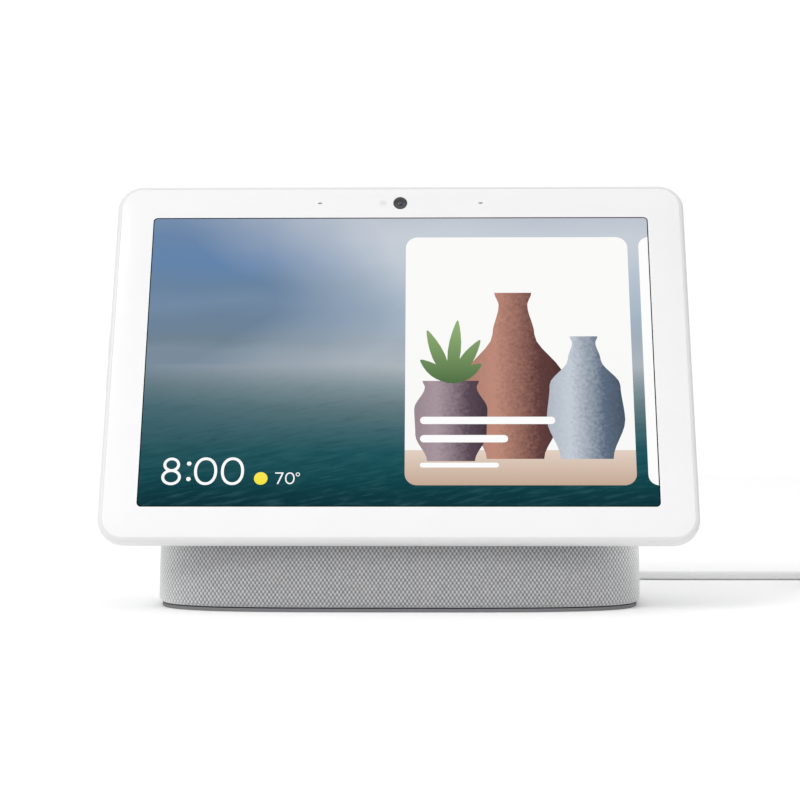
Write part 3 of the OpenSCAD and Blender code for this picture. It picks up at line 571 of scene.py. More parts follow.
def make_camera():
    data = bpy.data.cameras.new("camera")
    data.sensor_width = 36
    data.lens = CAMERA_LENS
    data.clip_start = 0.05
    ahead = Vector((sin(CAMERA_YAW) * cos(CAMERA_PITCH), cos(CAMERA_YAW) * cos(CAMERA_PITCH),
                    sin(CAMERA_PITCH)))
    right = Vector((cos(CAMERA_YAW), -sin(CAMERA_YAW), 0))
    up = right.cross(ahead)
    turn = Matrix((right, up, -ahead)).transposed() @ Matrix.Rotation(CAMERA_ROLL, 3, "Z")
    camera = bpy.data.objects.new("camera", data)
    camera.matrix_world = Matrix.Translation(CAMERA_AT) @ turn.to_4x4()
    bpy.context.scene.collection.objects.link(camera)
    bpy.context.scene.camera = camera


def make_light(name, place, aim, size, power):
    """A rectangular light that faces a point."""
    data = bpy.data.lights.new(name, "AREA")
    data.shape = "RECTANGLE"
    data.size, data.size_y = size
    data.energy = power
    light = bpy.data.objects.new(name, data)
    place, aim = Vector(place), Vector(aim)
    light.location = place
    light.rotation_euler = (place - aim).to_track_quat("Z", "Y").to_euler()
    bpy.context.scene.collection.objects.link(light)
    return light


SKY_LEVEL, SKY_RISE, SKY_BACK = 0.37, 0.86, 0.09        # at the horizon, per unit of height, and to the back
BACKDROP = 1.05                 # what the camera sees behind everything: just over white
FLOOR_R = 1.0


def make_studio():
    """Plain white floor, backdrop and a large soft light. Returns two more lights, for the base's ends."""
    scene = bpy.context.scene
    scene.view_settings.view_transform = "Standard"
    world = bpy.data.worlds.new("studio")
    scene.world = world
    world.use_nodes = True
    tree = world.node_tree
    sky = tree.nodes["Background"]
    sky.inputs["Color"].default_value = (1, 1, 1, 1)
    path = tree.nodes.new("ShaderNodeLightPath")
    coords = tree.nodes.new("ShaderNodeTexCoord")
    parts = tree.nodes.new("ShaderNodeSeparateXYZ")
    overhead = tree.nodes.new("ShaderNodeMath")          # brighter towards the top
    overhead.operation = "MULTIPLY_ADD"
    overhead.inputs[1].default_value = SKY_RISE
    overhead.inputs[2].default_value = SKY_LEVEL
    behind = tree.nodes.new("ShaderNodeMath")            # and towards the white backdrop
    behind.operation = "MULTIPLY_ADD"
    behind.inputs[1].default_value = SKY_BACK
    strength = tree.nodes.new("ShaderNodeMix")
    strength.inputs["B"].default_value = BACKDROP
    tree.links.new(coords.outputs["Generated"], parts.inputs[0])
    tree.links.new(parts.outputs["Z"], overhead.inputs[0])
    tree.links.new(parts.outputs["Y"], behind.inputs[0])
    tree.links.new(overhead.outputs[0], behind.inputs[2])
    tree.links.new(behind.outputs[0], strength.inputs["A"])
    tree.links.new(path.outputs["Is Camera Ray"], strength.inputs["Factor"])
    tree.links.new(strength.outputs["Result"], sky.inputs["Strength"])

    steps = 96
    edge = [(FLOOR_R * cos(2 * pi * k / steps), FLOOR_R * sin(2 * pi * k / steps), 0) for k in range(steps)]
    n = Nodes("floor_white")
    n.set(Base_Color=n.mix(n.noise(3, 2), (0.985, 0.985, 0.985, 1), (0.995, 0.995, 0.995, 1)), Roughness=0.8,
          Specular_IOR_Level=0.1)
    floor = make_piece("floor", edge, [tuple(range(steps))], None, None, materials=[n.done()])

    make_light("key", (-1.02, -0.90, 1.34), (0, 0, 0.08), (0.8, 0.8), 9.4)
    return [make_light(name, (x, 0.08, 0.1), (0, 0, 0.04), (0.4, 0.16), power)
            for name, x, power in (("left_edge", -0.95, 3.6), ("right_edge", 0.95, 6.0))]


def light_only(lights, piece):
    """Flags the lights off from everything but one piece."""
    group = bpy.data.collections.new("edge_lit")
    group.objects.link(piece)
    for light in lights:
        light.light_linking.receiver_collection = group


# ---- Power lead ----

CORD_D = 4 * MM
coil_lo, coil_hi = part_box("cord_coil")
COIL_AT = (coil_lo + coil_hi) / 2
COIL_R = (coil_hi.x - coil_lo.x) / 2
COIL_START = pi / 2
COIL_TURNS = 9.25
COIL_LAYERS = 4
COIL_STEPS = 16                 # points in each turn
COIL_RISE = pi / 4              # how far round a turn the cord climbs to the next layer

# The same route as the part's, in millimetres
RUN_ROUTE = [
    (0, 76, 14.4), (0, 84, 14), (1, 92, 12), (4, 100, 9), (10, 107, 5.6),
    (19, 112, 3), (29, 114, 2), (39, 113, 2), (49, 110, 2), (59, 105.5, 2), (69, 100, 2),
    (79, 94.5, 2), (89, 89.5, 2), (99, 85.5, 2), (109, 82.5, 2), (119, 81, 2),
    (130, 80.6, 2), (142, 80.6, 2), (154, 80.6, 2), (166, 80.6, 2), (178, 80.6, 2),
    (190, 80.6, 2), (206, 80.6, 2),
]
TAIL_ROUTE = [(244, 44, 14.5), (244, 36, 14.2), (244, 26, 14), (244, 16, 14)]


def smooth(x):
    """Eases from 0 to 1."""
    x = min(max(x, 0), 1)
    return x * x * (3 - 2 * x)


def coil_points():
    """The coil's turns: spirals in and out by turns, one layer on another."""
    per_layer = COIL_TURNS / COIL_LAYERS
    outer = COIL_R - CORD_D / 2
    inner = outer - per_layer * CORD_D
    points = []
    for i in range(round(COIL_TURNS * COIL_STEPS) + 1):
        turn = i / COIL_STEPS
        layer = min(int(turn / per_layer), COIL_LAYERS - 1)
        within = turn / per_layer - layer
        inwards = layer % 2 == 0
        r = outer + (inner - outer) * (within if inwards else 1 - within)
        rise = smooth((within - 1) * per_layer * 2 * pi / COIL_RISE + 1) if layer < COIL_LAYERS - 1 else 0
        z = coil_lo.z + CORD_D * (0.5 + layer + rise)
        a = COIL_START - 2 * pi * turn
        points.append(Vector((COIL_AT.x + r * cos(a), COIL_AT.y + r * sin(a), z)))
    return points


def make_cord():
    points = [Vector(p) * MM for p in RUN_ROUTE] + coil_points() + [Vector(p) * MM for p in TAIL_ROUTE]
    data = bpy.data.curves.new("power_cord", "CURVE")
    data.dimensions = "3D"
    data.resolution_u = 6
    data.bevel_depth = CORD_D / 2
    data.bevel_resolution = 5
    data.use_fill_caps = True
    spline = data.splines.new("BEZIER")
    spline.bezier_points.add(len(points) - 1)
    for knot, point in zip(spline.bezier_points, points):
        knot.co = point
        knot.handle_left_type = knot.handle_right_type = "AUTO"
    data.materials.append(SLOT_MATERIALS["cord_plastic"])
    cord = bpy.data.objects.new("power_cord", data)
    bpy.context.scene.collection.objects.link(cord)
    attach(cord, "display")
    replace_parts(cord, "cord_run", "cord_coil", "cord_tail")
    make_plug()
    make_adapter()
    make_tie()


def relief_profile(wide, tip, ribs, groove, start, length):
    """(radius, height) points of a tapered strain relief with grooves between its ribs."""
    points = []
    for k in range(ribs):
        for share, deep in ((0.0, 0.0), (0.55, 0.0), (0.62, groove), (0.93, groove)):
            along = (k + share) / ribs
            points.append((wide + (tip - wide) * along - deep * (1 - 0.4 * along), start + length * along))
    return points


def make_plug():
    """The plug's round body with finger rings, and its ribbed strain relief."""
    lo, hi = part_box("power_plug")
    r = (hi.x - lo.x) / 2
    relief = 12 * MM
    body_l = hi.y - lo.y - relief
    profile = [(0, 0), (r - 1.2 * MM, 0)]
    profile += [(r - 0.6 * MM * (1 - sin(a)), 0.6 * MM * (1 - cos(a))) for a in (0.0, 0.5, 1.0, pi / 2)]
    for k in range(4):                    # finger rings
        at = (3.2 + 2.2 * k) * MM
        profile += [(r, at), (r - 0.3 * MM, at + 0.3 * MM), (r - 0.3 * MM, at + 0.7 * MM), (r, at + MM)]
    profile += [(r - 0.9 * MM * (1 - cos(a)), body_l - 0.9 * MM + 0.9 * MM * sin(a)) for a in (0, 0.5, 1, 1.5)]
    tip = CORD_D / 2 + 0.3 * MM
    shoulder = 0.4 * MM
    profile += relief_profile(3 * MM, tip, 6, 0.45 * MM, body_l + shoulder, relief - shoulder)
    profile += [(tip, body_l + relief), (0, body_l + relief)]
    turn = Matrix.Translation((0, lo.y, (lo.z + hi.z) / 2)) @ Matrix.Rotation(-pi / 2, 4, "X")
    plug = make_piece("power_plug_body", *lathe(profile, 72), "display", "cord_plastic", turn)
    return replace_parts(plug, "power_plug")


def make_adapter():
    """The wall adapter: rounded body with a parting groove, and the cord's strain relief."""
    lo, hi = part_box("wall_adapter")
    relief = 12 * MM
    back = hi.y - relief
    fillet, corner, groove = 2.6 * MM, 8 * MM, 0.35 * MM
    middle = ((lo.x + hi.x) / 2, (lo.y + back) / 2)
    height = hi.z - lo.z
    levels = [(fillet * (1 - sin(a)), fillet * (1 - cos(a))) for a in quarter(8)]
    face = height * 0.62                  # height of the parting line
    levels += [(0, face - groove), (groove, face - groove * 0.5), (groove, face + groove * 0.5),
               (0, face + groove)]
    levels += [(fillet * (1 - cos(a)), height - fillet * (1 - sin(a))) for a in quarter(8)]
    rings = []
    for inset, z in levels:
        loop = round_loop(hi.x - lo.x - 2 * inset, back - lo.y - 2 * inset, corner - inset, 14, middle)
        rings.append([Vector((x, y, lo.z + z)) for x, y in loop])
    body = skin(rings)
    tip = CORD_D / 2 + 0.4 * MM
    profile = [(0, -MM), *relief_profile(3.4 * MM, tip, 5, 0.4 * MM, 0, relief), (tip, relief), (0, relief)]
    turn = Matrix.Translation((middle[0], back, TAIL_ROUTE[-1][2] * MM)) @ Matrix.Rotation(-pi / 2, 4, "X")
    parts = joined(body, moved(lathe(profile, 48), turn))
    adapter = make_piece("adapter_body", *parts, "display", "adapter_plastic")
    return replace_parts(adapter, "wall_adapter")


def make_tie():
    """Hook-and-loop strap round the coil, its end lapped over the top."""
    lo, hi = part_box("cord_tie")
    width, thick = 6 * MM, 0.8 * MM
    ring = COIL_R - 15 * MM
    place = Matrix.Translation((COIL_AT.x, COIL_AT.y, 0)) @ Matrix.Rotation(math.radians(200), 4, "Z")
    rings = []
    for inset, side in ((0.0, -1), (0.0, 1), (thick, 1), (thick, -1)):
        loop = round_loop(ring + 2 * thick + 1.2 * MM - 2 * inset, hi.z - lo.z - 2 * inset,
                          2.7 * MM - inset, 8)
        rings.append([Vector((COIL_R - ring / 2 + x, side * width / 2, (lo.z + hi.z) / 2 + z))
                      for x, z in loop])
    band = skin(rings, closed=True)
    lap = round_box((COIL_R - ring * 0.72, -width / 2 + 0.4 * MM, hi.z - 0.1 * MM),
                    (COIL_R - ring * 0.1, width / 2 - 0.4 * MM, hi.z + 0.7 * MM), 0.35 * MM)
    tie = make_piece("coil_strap", *joined(band, lap), "display", "tie_plastic", place)
    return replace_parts(tie, "cord_tie")


# ---- Display ----


def panel_loop(inset, y, steps=20):
    """The display's outline, drawn in by an inset, at a depth."""
    loop = round_loop(PANEL_W - 2 * inset, PANEL_H - 2 * inset, max(PANEL_R - inset, MM), steps, (0, MID_V))
    return [Vector((x, y, z)) for x, z in loop]


def make_housing():
    """The white rear cover with its rounded rim, hollow, with its slots."""
    outer = [(SIDE_D + (PANEL_T - SIDE_D) * cos(a), BACK_ROUND_W * (1 - sin(a))) for a in quarter(14)]
    rim = [(RIM_FRONT_D * (1 - cos(a)), (RIM_W - 0.35 * MM) * (1 - sin(a))) for a in reversed(quarter(8))]
    inner_back = PANEL_T - HOUSING_WALL
    room = [(SIDE_D + (inner_back - SIDE_D) * cos(a), HOUSING_WALL + BACK_ROUND_W * (1 - sin(a)))
            for a in quarter(8)] + [(RIM_FRONT_D, RIM_W + 0.6 * MM), (1.8 * MM, RIM_W + 0.6 * MM)]
    glass_back = 1.9 * MM
    recess = [(glass_back, RIM_W - 0.1 * MM), (-MM, RIM_W - 0.1 * MM)]
    solids = [bare_mesh(skin([panel_loop(inset, y) for y, inset in profile]))
              for profile in (outer + rim, room, recess)]
    knob_lo, knob_hi = slope_box("mute_knob")
    travel = 4 * MM
    knob_slot = round_box((knob_lo.x + 0.6 * MM, knob_lo.y + 0.1 * MM, PANEL_H - 8 * MM),
                          (knob_hi.x + travel - 0.6 * MM, knob_hi.y + 0.1 * MM, PANEL_H + 3 * MM), 0.5 * MM)
    rock_lo, rock_hi = slope_box("volume_rocker")
    rock_slot = round_box((rock_lo.x - MM, rock_lo.y - 0.2 * MM, rock_lo.z - 0.5 * MM),
                          (rock_lo.x + 6 * MM, rock_hi.y + 0.2 * MM, rock_hi.z + 0.5 * MM), 0.5 * MM)
    mesh = cut_away(*solids, bare_mesh(knob_slot), bare_mesh(rock_slot))
    housing = dress("rear_cover", mesh, "display", "white_plastic", ON_PANEL, sharp=40)
    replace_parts(housing, "rear_housing")


def glass_zones():
    """Outlines on the cover glass from the lowest to the topmost: (loop, material's number)."""
    line, sea, card, white, sun, picture, hole = 1, 2, 3, 4, 5, 6, -1
    middle = (0, (LIT_LO.z + LIT_HI.z) / 2)
    w, h = LIT_HI.x - LIT_LO.x, LIT_HI.z - LIT_LO.z
    zones = [(round_loop(w, h, 1.9 * MM, 8, middle), line),
             (round_loop(w - 2 * EDGE_LINE, h - 2 * EDGE_LINE, 1.5 * MM, 8, middle), sea)]

    def mm(loop, zone):
        zones.append(([(x * MM, v * MM) for x, v in loop], zone))

    def ring(x, v, rx, ry, stroke, power=2.15):
        mm(oval_loop(x, v, rx, ry, 48, power), white)
        mm(oval_loop(x, v, rx - stroke, ry - stroke, 48, power), sea)

    # Cards: the main one with a still life, and the edge of the next
    card_middle = (51, 83.7)
    mm(round_loop(96.8, 117.2, 5.2, 10, card_middle), card)
    right = LIT_HI.x / MM - 0.47
    low, high, r, left = 25.1, 142.3, 4.6, 104.2
    next_card = [(left + r * (1 - sin(a)), high - r * (1 - cos(a))) for a in quarter(8)]
    next_card += [(left + r * (1 - cos(a)), low + r * (1 - sin(a))) for a in quarter(8)]
    next_card += [(right, low), (right, high)]
    mm(next_card, white)
    for number, loop in enumerate(still_life()):
        mm(loop, picture + number)
    for left, right, v, thick in ((9, 66, 54.6, 3.4), (9, 46, 46.2, 3.4), (9, 42, 34.2, 2.2)):
        mm(round_loop(right - left, thick, thick / 2 - 0.05, 8, ((left + right) / 2, v)), white)

    # Clock, a sun and the temperature
    stroke = 1.22
    mm(oval_loop(-95, 34.35, 3.5, 3.25, 48), white)
    mm(oval_loop(-95, 28.75, 4.1, 3.6, 48), white)
    mm(oval_loop(-95, 34.4, 3.5 - stroke, 3.25 - stroke, 40), sea)
    mm(oval_loop(-95, 28.75, 4.1 - stroke, 3.6 - stroke, 40), sea)
    for v in (34.9, 27.9):
        mm(oval_loop(-87.7, v, 0.95, 0.95, 32), white)
    for x in (-80.65, -69.4):
        ring(x, 31.46, 4.85, 6.25, stroke)
    mm(oval_loop(-57.46, 28.18, 2.85, 2.85, 48), sun)
    mm([(-51.5, 30.9), (-51.5, 30.34), (-48.75, 30.34), (-50.75, 25.65), (-50.1, 25.65), (-48.0, 30.45),
        (-48.0, 30.9)], white)
    ring(-45.3, 28.25, 2.0, 2.65, 0.56)
    ring(-42.0, 30.0, 0.9, 0.9, 0.36, power=2)

    zones.append((oval_loop(0, CAMERA_V, CAMERA_R + 0.05 * MM, CAMERA_R + 0.05 * MM, 64), hole))
    for side in (-1, 1):
        zones.append((round_loop(1.9 * MM, 0.8 * MM, 0.39 * MM, 8, (side * MIC_X, CAMERA_V)), hole))
    return zones


def vase_loop(x, foot, widths):
    """Outline of a vase from (height above its foot, half width) points, smoothed."""
    points = []
    for i in range(len(widths) - 1):
        for k in range(6):
            t = smooth(k / 6)
            points.append((widths[i][0] + (widths[i + 1][0] - widths[i][0]) * k / 6,
                           widths[i][1] + (widths[i + 1][1] - widths[i][1]) * t))
    points.append(widths[-1])
    return [(x + w, foot + h) for h, w in points] + [(x - w, foot + h) for h, w in reversed(points)]


def leaf_loop(x, v, length, width, angle):
    """Outline of a pointed leaf that grows from a point."""
    loop = []
    for i in range(20):
        a = 2 * pi * i / 20
        along = length / 2 * (1 + cos(a))
        across = width / 2 * sin(a) * (0.55 + 0.45 * sin(pi * along / length))
        loop.append((x + along * cos(angle) - across * sin(angle),
                     v + along * sin(angle) + across * cos(angle)))
    return loop


def still_life():
    """Loops of the card's picture: a table, leaves and three vases, in the order of their materials."""
    table = [(99.4, 41), (2.6, 41)]
    table += [(2.6 + 5.2 * (1 - cos(a)), 25.1 + 5.2 * (1 - sin(a))) for a in quarter(8)]
    table += [(99.4 - 5.2 * (1 - sin(a)), 25.1 + 5.2 * (1 - cos(a))) for a in quarter(8)]
    tall = vase_loop(49, 37, [(0, 12), (16, 18), (38, 21), (58, 9), (72, 6.2), (78, 8)])
    low_pot = vase_loop(22, 36, [(0, 10), (12, 15), (24, 15.5), (34, 11), (37, 12)])
    side_pot = vase_loop(79, 37, [(0, 11), (18, 16.5), (34, 15), (46, 7), (54, 5), (57, 6)])
    leaves = [leaf_loop(22, 72, length, 5.6, math.radians(angle))
              for angle, length in ((58, 24), (84, 30), (112, 27), (140, 17), (34, 16))]
    return [table, tall, side_pot, low_pot, *leaves]


def still_life_materials():
    """The materials of still_life's loops, in the same order."""
    return [
        lit_plain("screen_table", srgb(196, 168, 148), srgb(226, 208, 194), 25 * MM, 16 * MM),
        lit_round("screen_tall_vase", srgb(96, 62, 60), srgb(190, 138, 122), 49 * MM, 21 * MM),
        lit_round("screen_side_vase", srgb(92, 108, 128), srgb(196, 204, 214), 79 * MM, 16 * MM),
        lit_round("screen_low_pot", srgb(88, 72, 84), srgb(168, 150, 158), 22 * MM, 15 * MM),
        *[lit_plain(f"screen_leaf_{k + 1}", srgb(70, 104, 62), srgb(146, 176, 118), 70 * MM, 30 * MM)
          for k in range(5)],
    ]


def holds(loop, point):
    """Whether a closed loop goes round a point."""
    x, y = point
    if not (min(p[0] for p in loop) < x < max(p[0] for p in loop)):
        return False
    within = False
    for (x0, y0), (x1, y1) in zip(loop, [*loop[1:], loop[0]]):
        if (y0 > y) != (y1 > y) and x < x0 + (y - y0) * (x1 - x0) / (y1 - y0):
            within = not within
    return within


def make_glass():
    """The cover glass: one plate with rounded edges, whose face holds the border and the picture."""
    edge = 0.14 * MM
    inset = RIM_W - 0.08 * MM
    glass_t = slope_box("front_glass")[1].y
    face_loop = [(p.x, p.z) for p in panel_loop(inset + edge, 0)]
    zones = [(face_loop, 0), *glass_zones()]
    points, loops = [], []
    for loop, _ in zones:
        loops.append(list(range(len(points), len(points) + len(loop))))
        points += [Vector(p) for p in loop]
    flat, _, faces, _, _, _ = delaunay_2d_cdt(points, [], loops, 1, 1e-7, False)
    work = bmesh.new()
    corners = [work.verts.new((p.x, 0, p.y)) for p in flat]
    for face in faces:
        middle = sum((flat[i] for i in face), Vector((0, 0))) / len(face)
        zone = next(number for loop, number in reversed(zones) if holds(loop, middle))
        if zone >= 0:
            work.faces.new([corners[i] for i in face]).material_index = zone
    bmesh.ops.delete(work, geom=[v for v in work.verts if not v.link_faces], context="VERTS")
    open_edges = [e for e in work.edges if len(e.link_faces) == 1]
    outer = [e for e in open_edges if max(abs(v.co.x) for v in e.verts) > PANEL_W / 2 - PANEL_R - inset
             or min(v.co.z for v in e.verts) < 2 * inset or max(v.co.z for v in e.verts) > PANEL_H - 2 * inset]
    inner = [e for e in open_edges if e not in set(outer)]

    def drawn_back(edges, depth, grow=0.0):
        """Extrudes edges to a depth, growing the outline outwards."""
        made = bmesh.ops.extrude_edge_only(work, edges=edges)["geom"]
        for vert in [g for g in made if isinstance(g, bmesh.types.BMVert)]:
            x, z = vert.co.x, vert.co.z - MID_V
            core_x = max(min(x, PANEL_W / 2 - PANEL_R), PANEL_R - PANEL_W / 2)
            core_z = max(min(z, MID_V - PANEL_R), PANEL_R - MID_V)
            away = Vector((x - core_x, z - core_z))
            if grow and away.length > 0:
                away = away.normalized() * grow
                vert.co.x += away.x
                vert.co.z += away.y
            vert.co.y = depth
        return [g for g in made if isinstance(g, bmesh.types.BMEdge)]

    steps = 5
    ring = outer
    for k in range(1, steps + 1):
        before, now = pi / 2 * (k - 1) / steps, pi / 2 * k / steps
        ring = drawn_back(ring, edge * (1 - cos(now)), edge * (sin(now) - sin(before)))
    back = drawn_back(ring, glass_t) + drawn_back(inner, glass_t)
    bmesh.ops.triangle_fill(work, edges=back, use_beauty=True)
    for face in work.faces:
        if face.calc_center_median().y > 1e-6:
            face.material_index = 0
    bmesh.ops.recalc_face_normals(work, faces=work.faces)
    mesh = bpy.data.meshes.new("cover_glass")
    work.to_mesh(mesh)
    work.free()
    materials = [SLOT_MATERIALS["white_glass"], lit_plain("screen_edge", grey(6), grey(8), 0, 1),
                 sea_and_sky(),
                 lit_plain("screen_card", srgb(248, 248, 247), srgb(250, 250, 248), 40 * MM, 90 * MM),
                 lit_plain("screen_white", grey(252), grey(254), 0, 1),
                 lit_plain("screen_sun", srgb(246, 226, 62), srgb(250, 232, 84), 25 * MM, 6 * MM),
                 *still_life_materials()]
    glass = dress("cover_glass", mesh, "display", "white_glass", ON_PANEL, materials, sharp=40)
    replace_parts(glass, "front_glass")


def make_camera_window():
    """The camera's dark window: an outer ring, a stepped well and a small domed lens."""
    r = CAMERA_R
    ring = [(r, -1.2 * MM), (r, -0.15 * MM), (r - 0.15 * MM, 0), (r - 0.6 * MM, 0),
            (r - 0.75 * MM, -0.18 * MM),
            (r - 1.1 * MM, -0.22 * MM), (r - 1.15 * MM, -0.38 * MM), (r - 1.5 * MM, -0.42 * MM),
            (r - 1.55 * MM, -0.6 * MM), (r - 1.9 * MM, -0.62 * MM), (0, -0.62 * MM)]
    dome = [(1.05 * MM * sin(a), -0.62 * MM + 0.34 * MM * cos(a)) for a in reversed(quarter(8))]
    place = ON_PANEL @ Matrix.Translation((0, 0, CAMERA_V)) @ Matrix.Rotation(pi / 2, 4, "X")
    well = make_piece("camera_ring", *lathe([(0, -1.2 * MM), *ring]), "display", "camera_glass", place)
    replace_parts(well, "camera_window")
    make_piece("camera_eye", *lathe([(0, -0.8 * MM), (1.05 * MM, -0.8 * MM), *dome]), "display", "lens_glass",
               place)


def make_knob():
    """The microphone switch's knob: grip ribs on top, a flange, and the stem that moves the switch."""
    lo, hi = slope_box("mute_knob")
    seat = lo.z + 1.2 * MM
    middle = (lo.x + hi.x) / 2
    head = round_box((lo.x + MM, lo.y + 0.3 * MM, seat), (hi.x - MM, hi.y - 0.1 * MM, hi.z - 0.25 * MM),
                     0.35 * MM)
    flange = round_box((lo.x, lo.y, seat), (hi.x, hi.y, seat + 0.9 * MM), 0.2 * MM)
    stem = round_box((lo.x + 2.9 * MM, lo.y + 1.3 * MM, lo.z),
                     (lo.x + 3.9 * MM, lo.y + 1.9 * MM, seat + 0.3 * MM), 0.1 * MM)
    ribs = [round_box((middle + k * 1.3 * MM - 0.3 * MM, lo.y + 0.7 * MM, hi.z - 0.6 * MM),
                      (middle + k * 1.3 * MM + 0.3 * MM, hi.y - 0.5 * MM, hi.z), 0.2 * MM)
            for k in range(-2, 3)]
    knob = make_piece("mute_slider_knob", *joined(head, flange, stem, *ribs), "mute_slider", "white_plastic",
                      ON_PANEL)
    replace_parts(knob, "mute_knob")


def make_rocker():
    """The volume rocker: a slim bar with a dip in its middle, and its hinge lug."""
    lo, hi = slope_box("volume_rocker")
    bar_t = 2.85 * MM
    half = (hi.z - lo.z) / 2
    middle_v = (hi.z + lo.z) / 2
    round_l = 1.5 * MM              # length of each rounded end
    rings = []
    count = 48
    for i in range(count + 1):
        s = -1 + 2 * i / count
        past = max(abs(s) * half - (half - round_l), 0) / round_l
        end = sqrt(max(1 - past ** 2, 0.0004))
        dip = 0.35 * MM * math.exp(-(s * half / (2.2 * MM)) ** 2)
        near = lo.x + dip + (1 - end) * 0.7 * MM
        deep = (hi.y - lo.y) * (0.75 + 0.25 * end)
        loop = round_loop(lo.x + bar_t - near, deep, min(0.8 * MM, deep * 0.4), 6,
                          ((near + lo.x + bar_t) / 2, (lo.y + hi.y) / 2))
        rings.append([Vector((x, y, middle_v + s * half)) for x, y in loop])
    bar = skin(rings)
    lug_r = 1.1 * MM
    lug = round_box((lo.x + bar_t - 0.1 * MM, lo.y, middle_v - lug_r), (hi.x, hi.y, middle_v + lug_r),
                    0.2 * MM)
    rocker = make_piece("volume_rocker_bar", *joined(bar, lug), "rocker", "white_plastic", ON_PANEL)
    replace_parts(rocker, "volume_rocker")


# ---- Base ----

fabric_lo, fabric_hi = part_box("fabric_sleeve")
foot_lo, foot_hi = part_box("rubber_foot")
BASE_W = fabric_hi.x - fabric_lo.x
BASE_D = -2 * (Matrix.Rotation(-TILT, 3, "X") @ SLOPE_START).y
BASE_TOP = 134 * MM
FABRIC_T = 1.2 * MM
HEM_DROP = 0.5 * MM             # how far the hem reaches below the part's own
FOOT_RISE = 0.25 * MM           # how much higher the foot stands, to meet the hem
EDGE_ROUND = 2 * MM
SPINE_FRONT, SPINE_BACK = -4.6 * MM, 15 * MM    # y of the middle line at the bottom and at the top
FRONT_LEAN, REAR_LEAN = 0.287, 0.09
N_FRONT, N_REAR = 4, 2.6        # how square the outline is
DISPLAY_GAP = 0.2 * MM
OUTLINE_STEPS = 200


def base_point(a, z, inset, top):
    """A point of the base's outside at height z, in the direction a round its middle line."""
    share = min(max(z / top, 0), 1)
    spine = SPINE_FRONT + (SPINE_BACK - SPINE_FRONT) * share
    crown = (1 - share ** 3) ** (1 / 2.2)
    half = BASE_W / 2 * (1 - share ** 4) ** (1 / 3)
    front = sin(a) < 0
    reach = (spine + BASE_D / 2 - FRONT_LEAN * z) if front else (BASE_D / 2 - REAR_LEAN * z - spine)
    wide, deep = max(half - inset, 0.05 * MM), max(reach * crown - inset, 0.05 * MM)
    power = 2 / (N_FRONT if front else N_REAR)
    return Vector((wide * math.copysign(abs(cos(a)) ** power, cos(a)),
                   spine + deep * math.copysign(abs(sin(a)) ** power, sin(a)), z))


def around_base(steps):
    """Even angles that start and end at the back."""
    return [pi / 2 + 2 * pi * i / steps for i in range(steps)]


def base_skin(low, inset, steps, rows):
    """Rings up the base's outside, from its rounded bottom edge to its top."""
    top = BASE_TOP - inset
    start = low + EDGE_ROUND
    levels = [(start - EDGE_ROUND * cos(a), inset + EDGE_ROUND * (1 - sin(a))) for a in quarter(6)[:-1]]
    levels += [(start + (top - 0.02 * MM - start) * sin(a), inset) for a in quarter(rows)]
    return [[base_point(a, z, extra, top) for a in around_base(steps)] for z, extra in levels]


def display_tool(margin):
    """The display's outline swept forward, as the part cuts its base back to it."""
    profile = [(SIDE_D + (PANEL_T + margin - SIDE_D) * cos(a), BACK_ROUND_W * (1 - sin(a)) - margin)
               for a in quarter(10)]
    rings = [panel_loop(inset, y, 12) for y, inset in profile] + [panel_loop(-margin, -90 * MM, 12)]
    return bare_mesh(skin(rings), ON_PANEL)


def port_tool():
    """The opening for the port cover, through the back of the base."""
    lo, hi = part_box("port_cover")
    gap = 0.5 * MM
    return bare_mesh(round_box((lo.x - gap, lo.y - 6 * MM, lo.z - gap),
                               (hi.x + gap, hi.y + 20 * MM, hi.z + gap), MM))


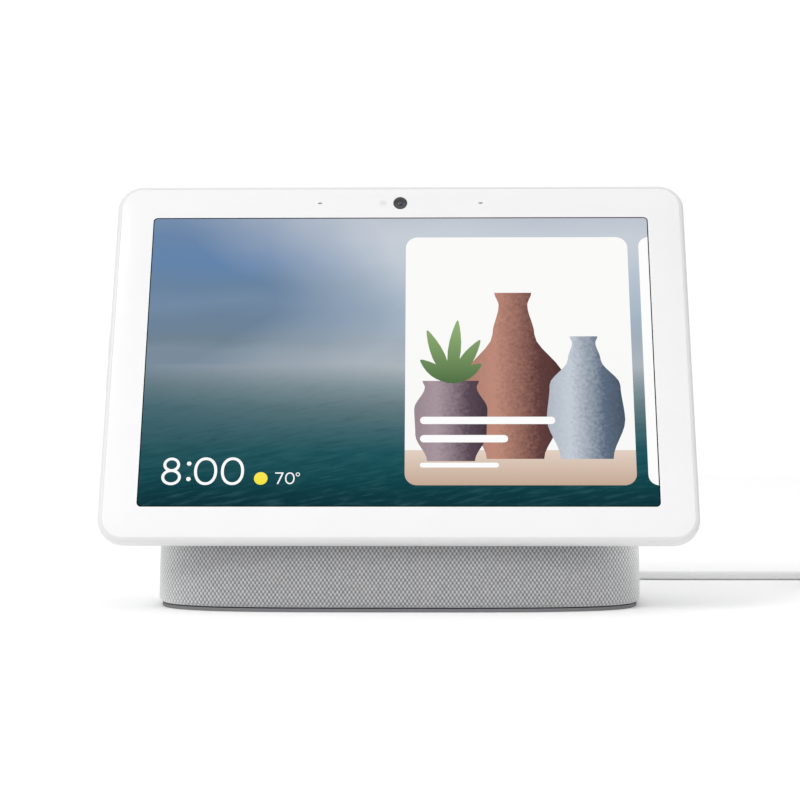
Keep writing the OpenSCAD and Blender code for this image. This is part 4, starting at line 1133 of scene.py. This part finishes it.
def make_sleeve():
    """The fabric sleeve: a sheet stretched over the base's shell, turned under at the bottom."""
    low = fabric_lo.z - HEM_DROP
    rings = base_skin(low, 0, OUTLINE_STEPS, 44)
    n = len(rings[0])
    up = [0.0]
    for below, above in zip(rings, rings[1:]):
        up.append(up[-1] + (above[n // 4] - below[n // 4]).length)
    belt = rings[len(rings) // 3]
    around = [0.0]
    for j in range(n):
        around.append(around[-1] + (belt[(j + 1) % n] - belt[j]).length)
    uvs = [[(around[j], low_v), (around[j + 1], low_v), (around[j + 1], high_v), (around[j], high_v)]
           for low_v, high_v in zip(up, up[1:]) for j in range(n)]
    uvs += [[(0, 0)] * n] * 2             # the two end caps; the lower one is cut away
    mesh = bare_mesh(skin(rings))
    layer = mesh.uv_layers.new(name="weave")
    for polygon, corners in zip(mesh.polygons, uvs):
        for corner, loop in zip(corners, polygon.loop_indices):
            layer.data[loop].uv = corner
    inner = bare_mesh(skin(base_skin(low - 3 * MM, FABRIC_T, 120, 30)))
    made = cut_away(mesh, inner, display_tool(DISPLAY_GAP), port_tool())
    sleeve = dress("fabric_cover", made, "display", "grey_fabric", sharp=50)
    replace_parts(sleeve, "fabric_sleeve")
    return sleeve


def make_foot():
    """The rubber foot: a ring along the base's outline, with rounded edges."""
    low, high = foot_lo.z, foot_hi.z + FOOT_RISE
    outer = (BASE_W - foot_hi.x + foot_lo.x) / 2
    inner = outer + 14 * MM
    r = 0.12 * MM
    levels = [(outer + r * (1 - sin(a)), low + r * (1 - cos(a))) for a in quarter(4)]
    levels += [(outer + r * (1 - cos(a)), high - r * (1 - sin(a))) for a in quarter(4)]
    levels += [(inner - r * (1 - cos(a)), high - r * (1 - sin(a))) for a in reversed(quarter(4))]
    levels += [(inner - r * (1 - sin(a)), low + r * (1 - cos(a))) for a in reversed(quarter(4))]
    rings = []
    for inset, z in levels:
        outline = [base_point(a, 0, inset, BASE_TOP) for a in around_base(OUTLINE_STEPS)]
        rings.append([Vector((p.x, p.y, z)) for p in outline])
    foot = make_piece("foot_ring", *skin(rings, closed=True), "display", "foot_rubber")
    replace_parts(foot, "rubber_foot")


def make_ports():
    """The two ports and the cover round them, with softened edges."""
    for node, width, slot in (("port_cover", 0.5 * MM, "cover_plastic"),
                              ("power_jack", 0.15 * MM, "jack_plastic"),
                              ("service_port", 0.2 * MM, "can_steel")):
        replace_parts(dress(f"{node}_body", softened(node, width), "display", slot), node)


# ---- The scene ----

make_camera()
make_cord()
edge_lights = make_studio()
paint_frame()
make_housing()
make_glass()
make_camera_window()
make_knob()
make_rocker()
light_only(edge_lights, make_sleeve())
make_foot()
make_ports()
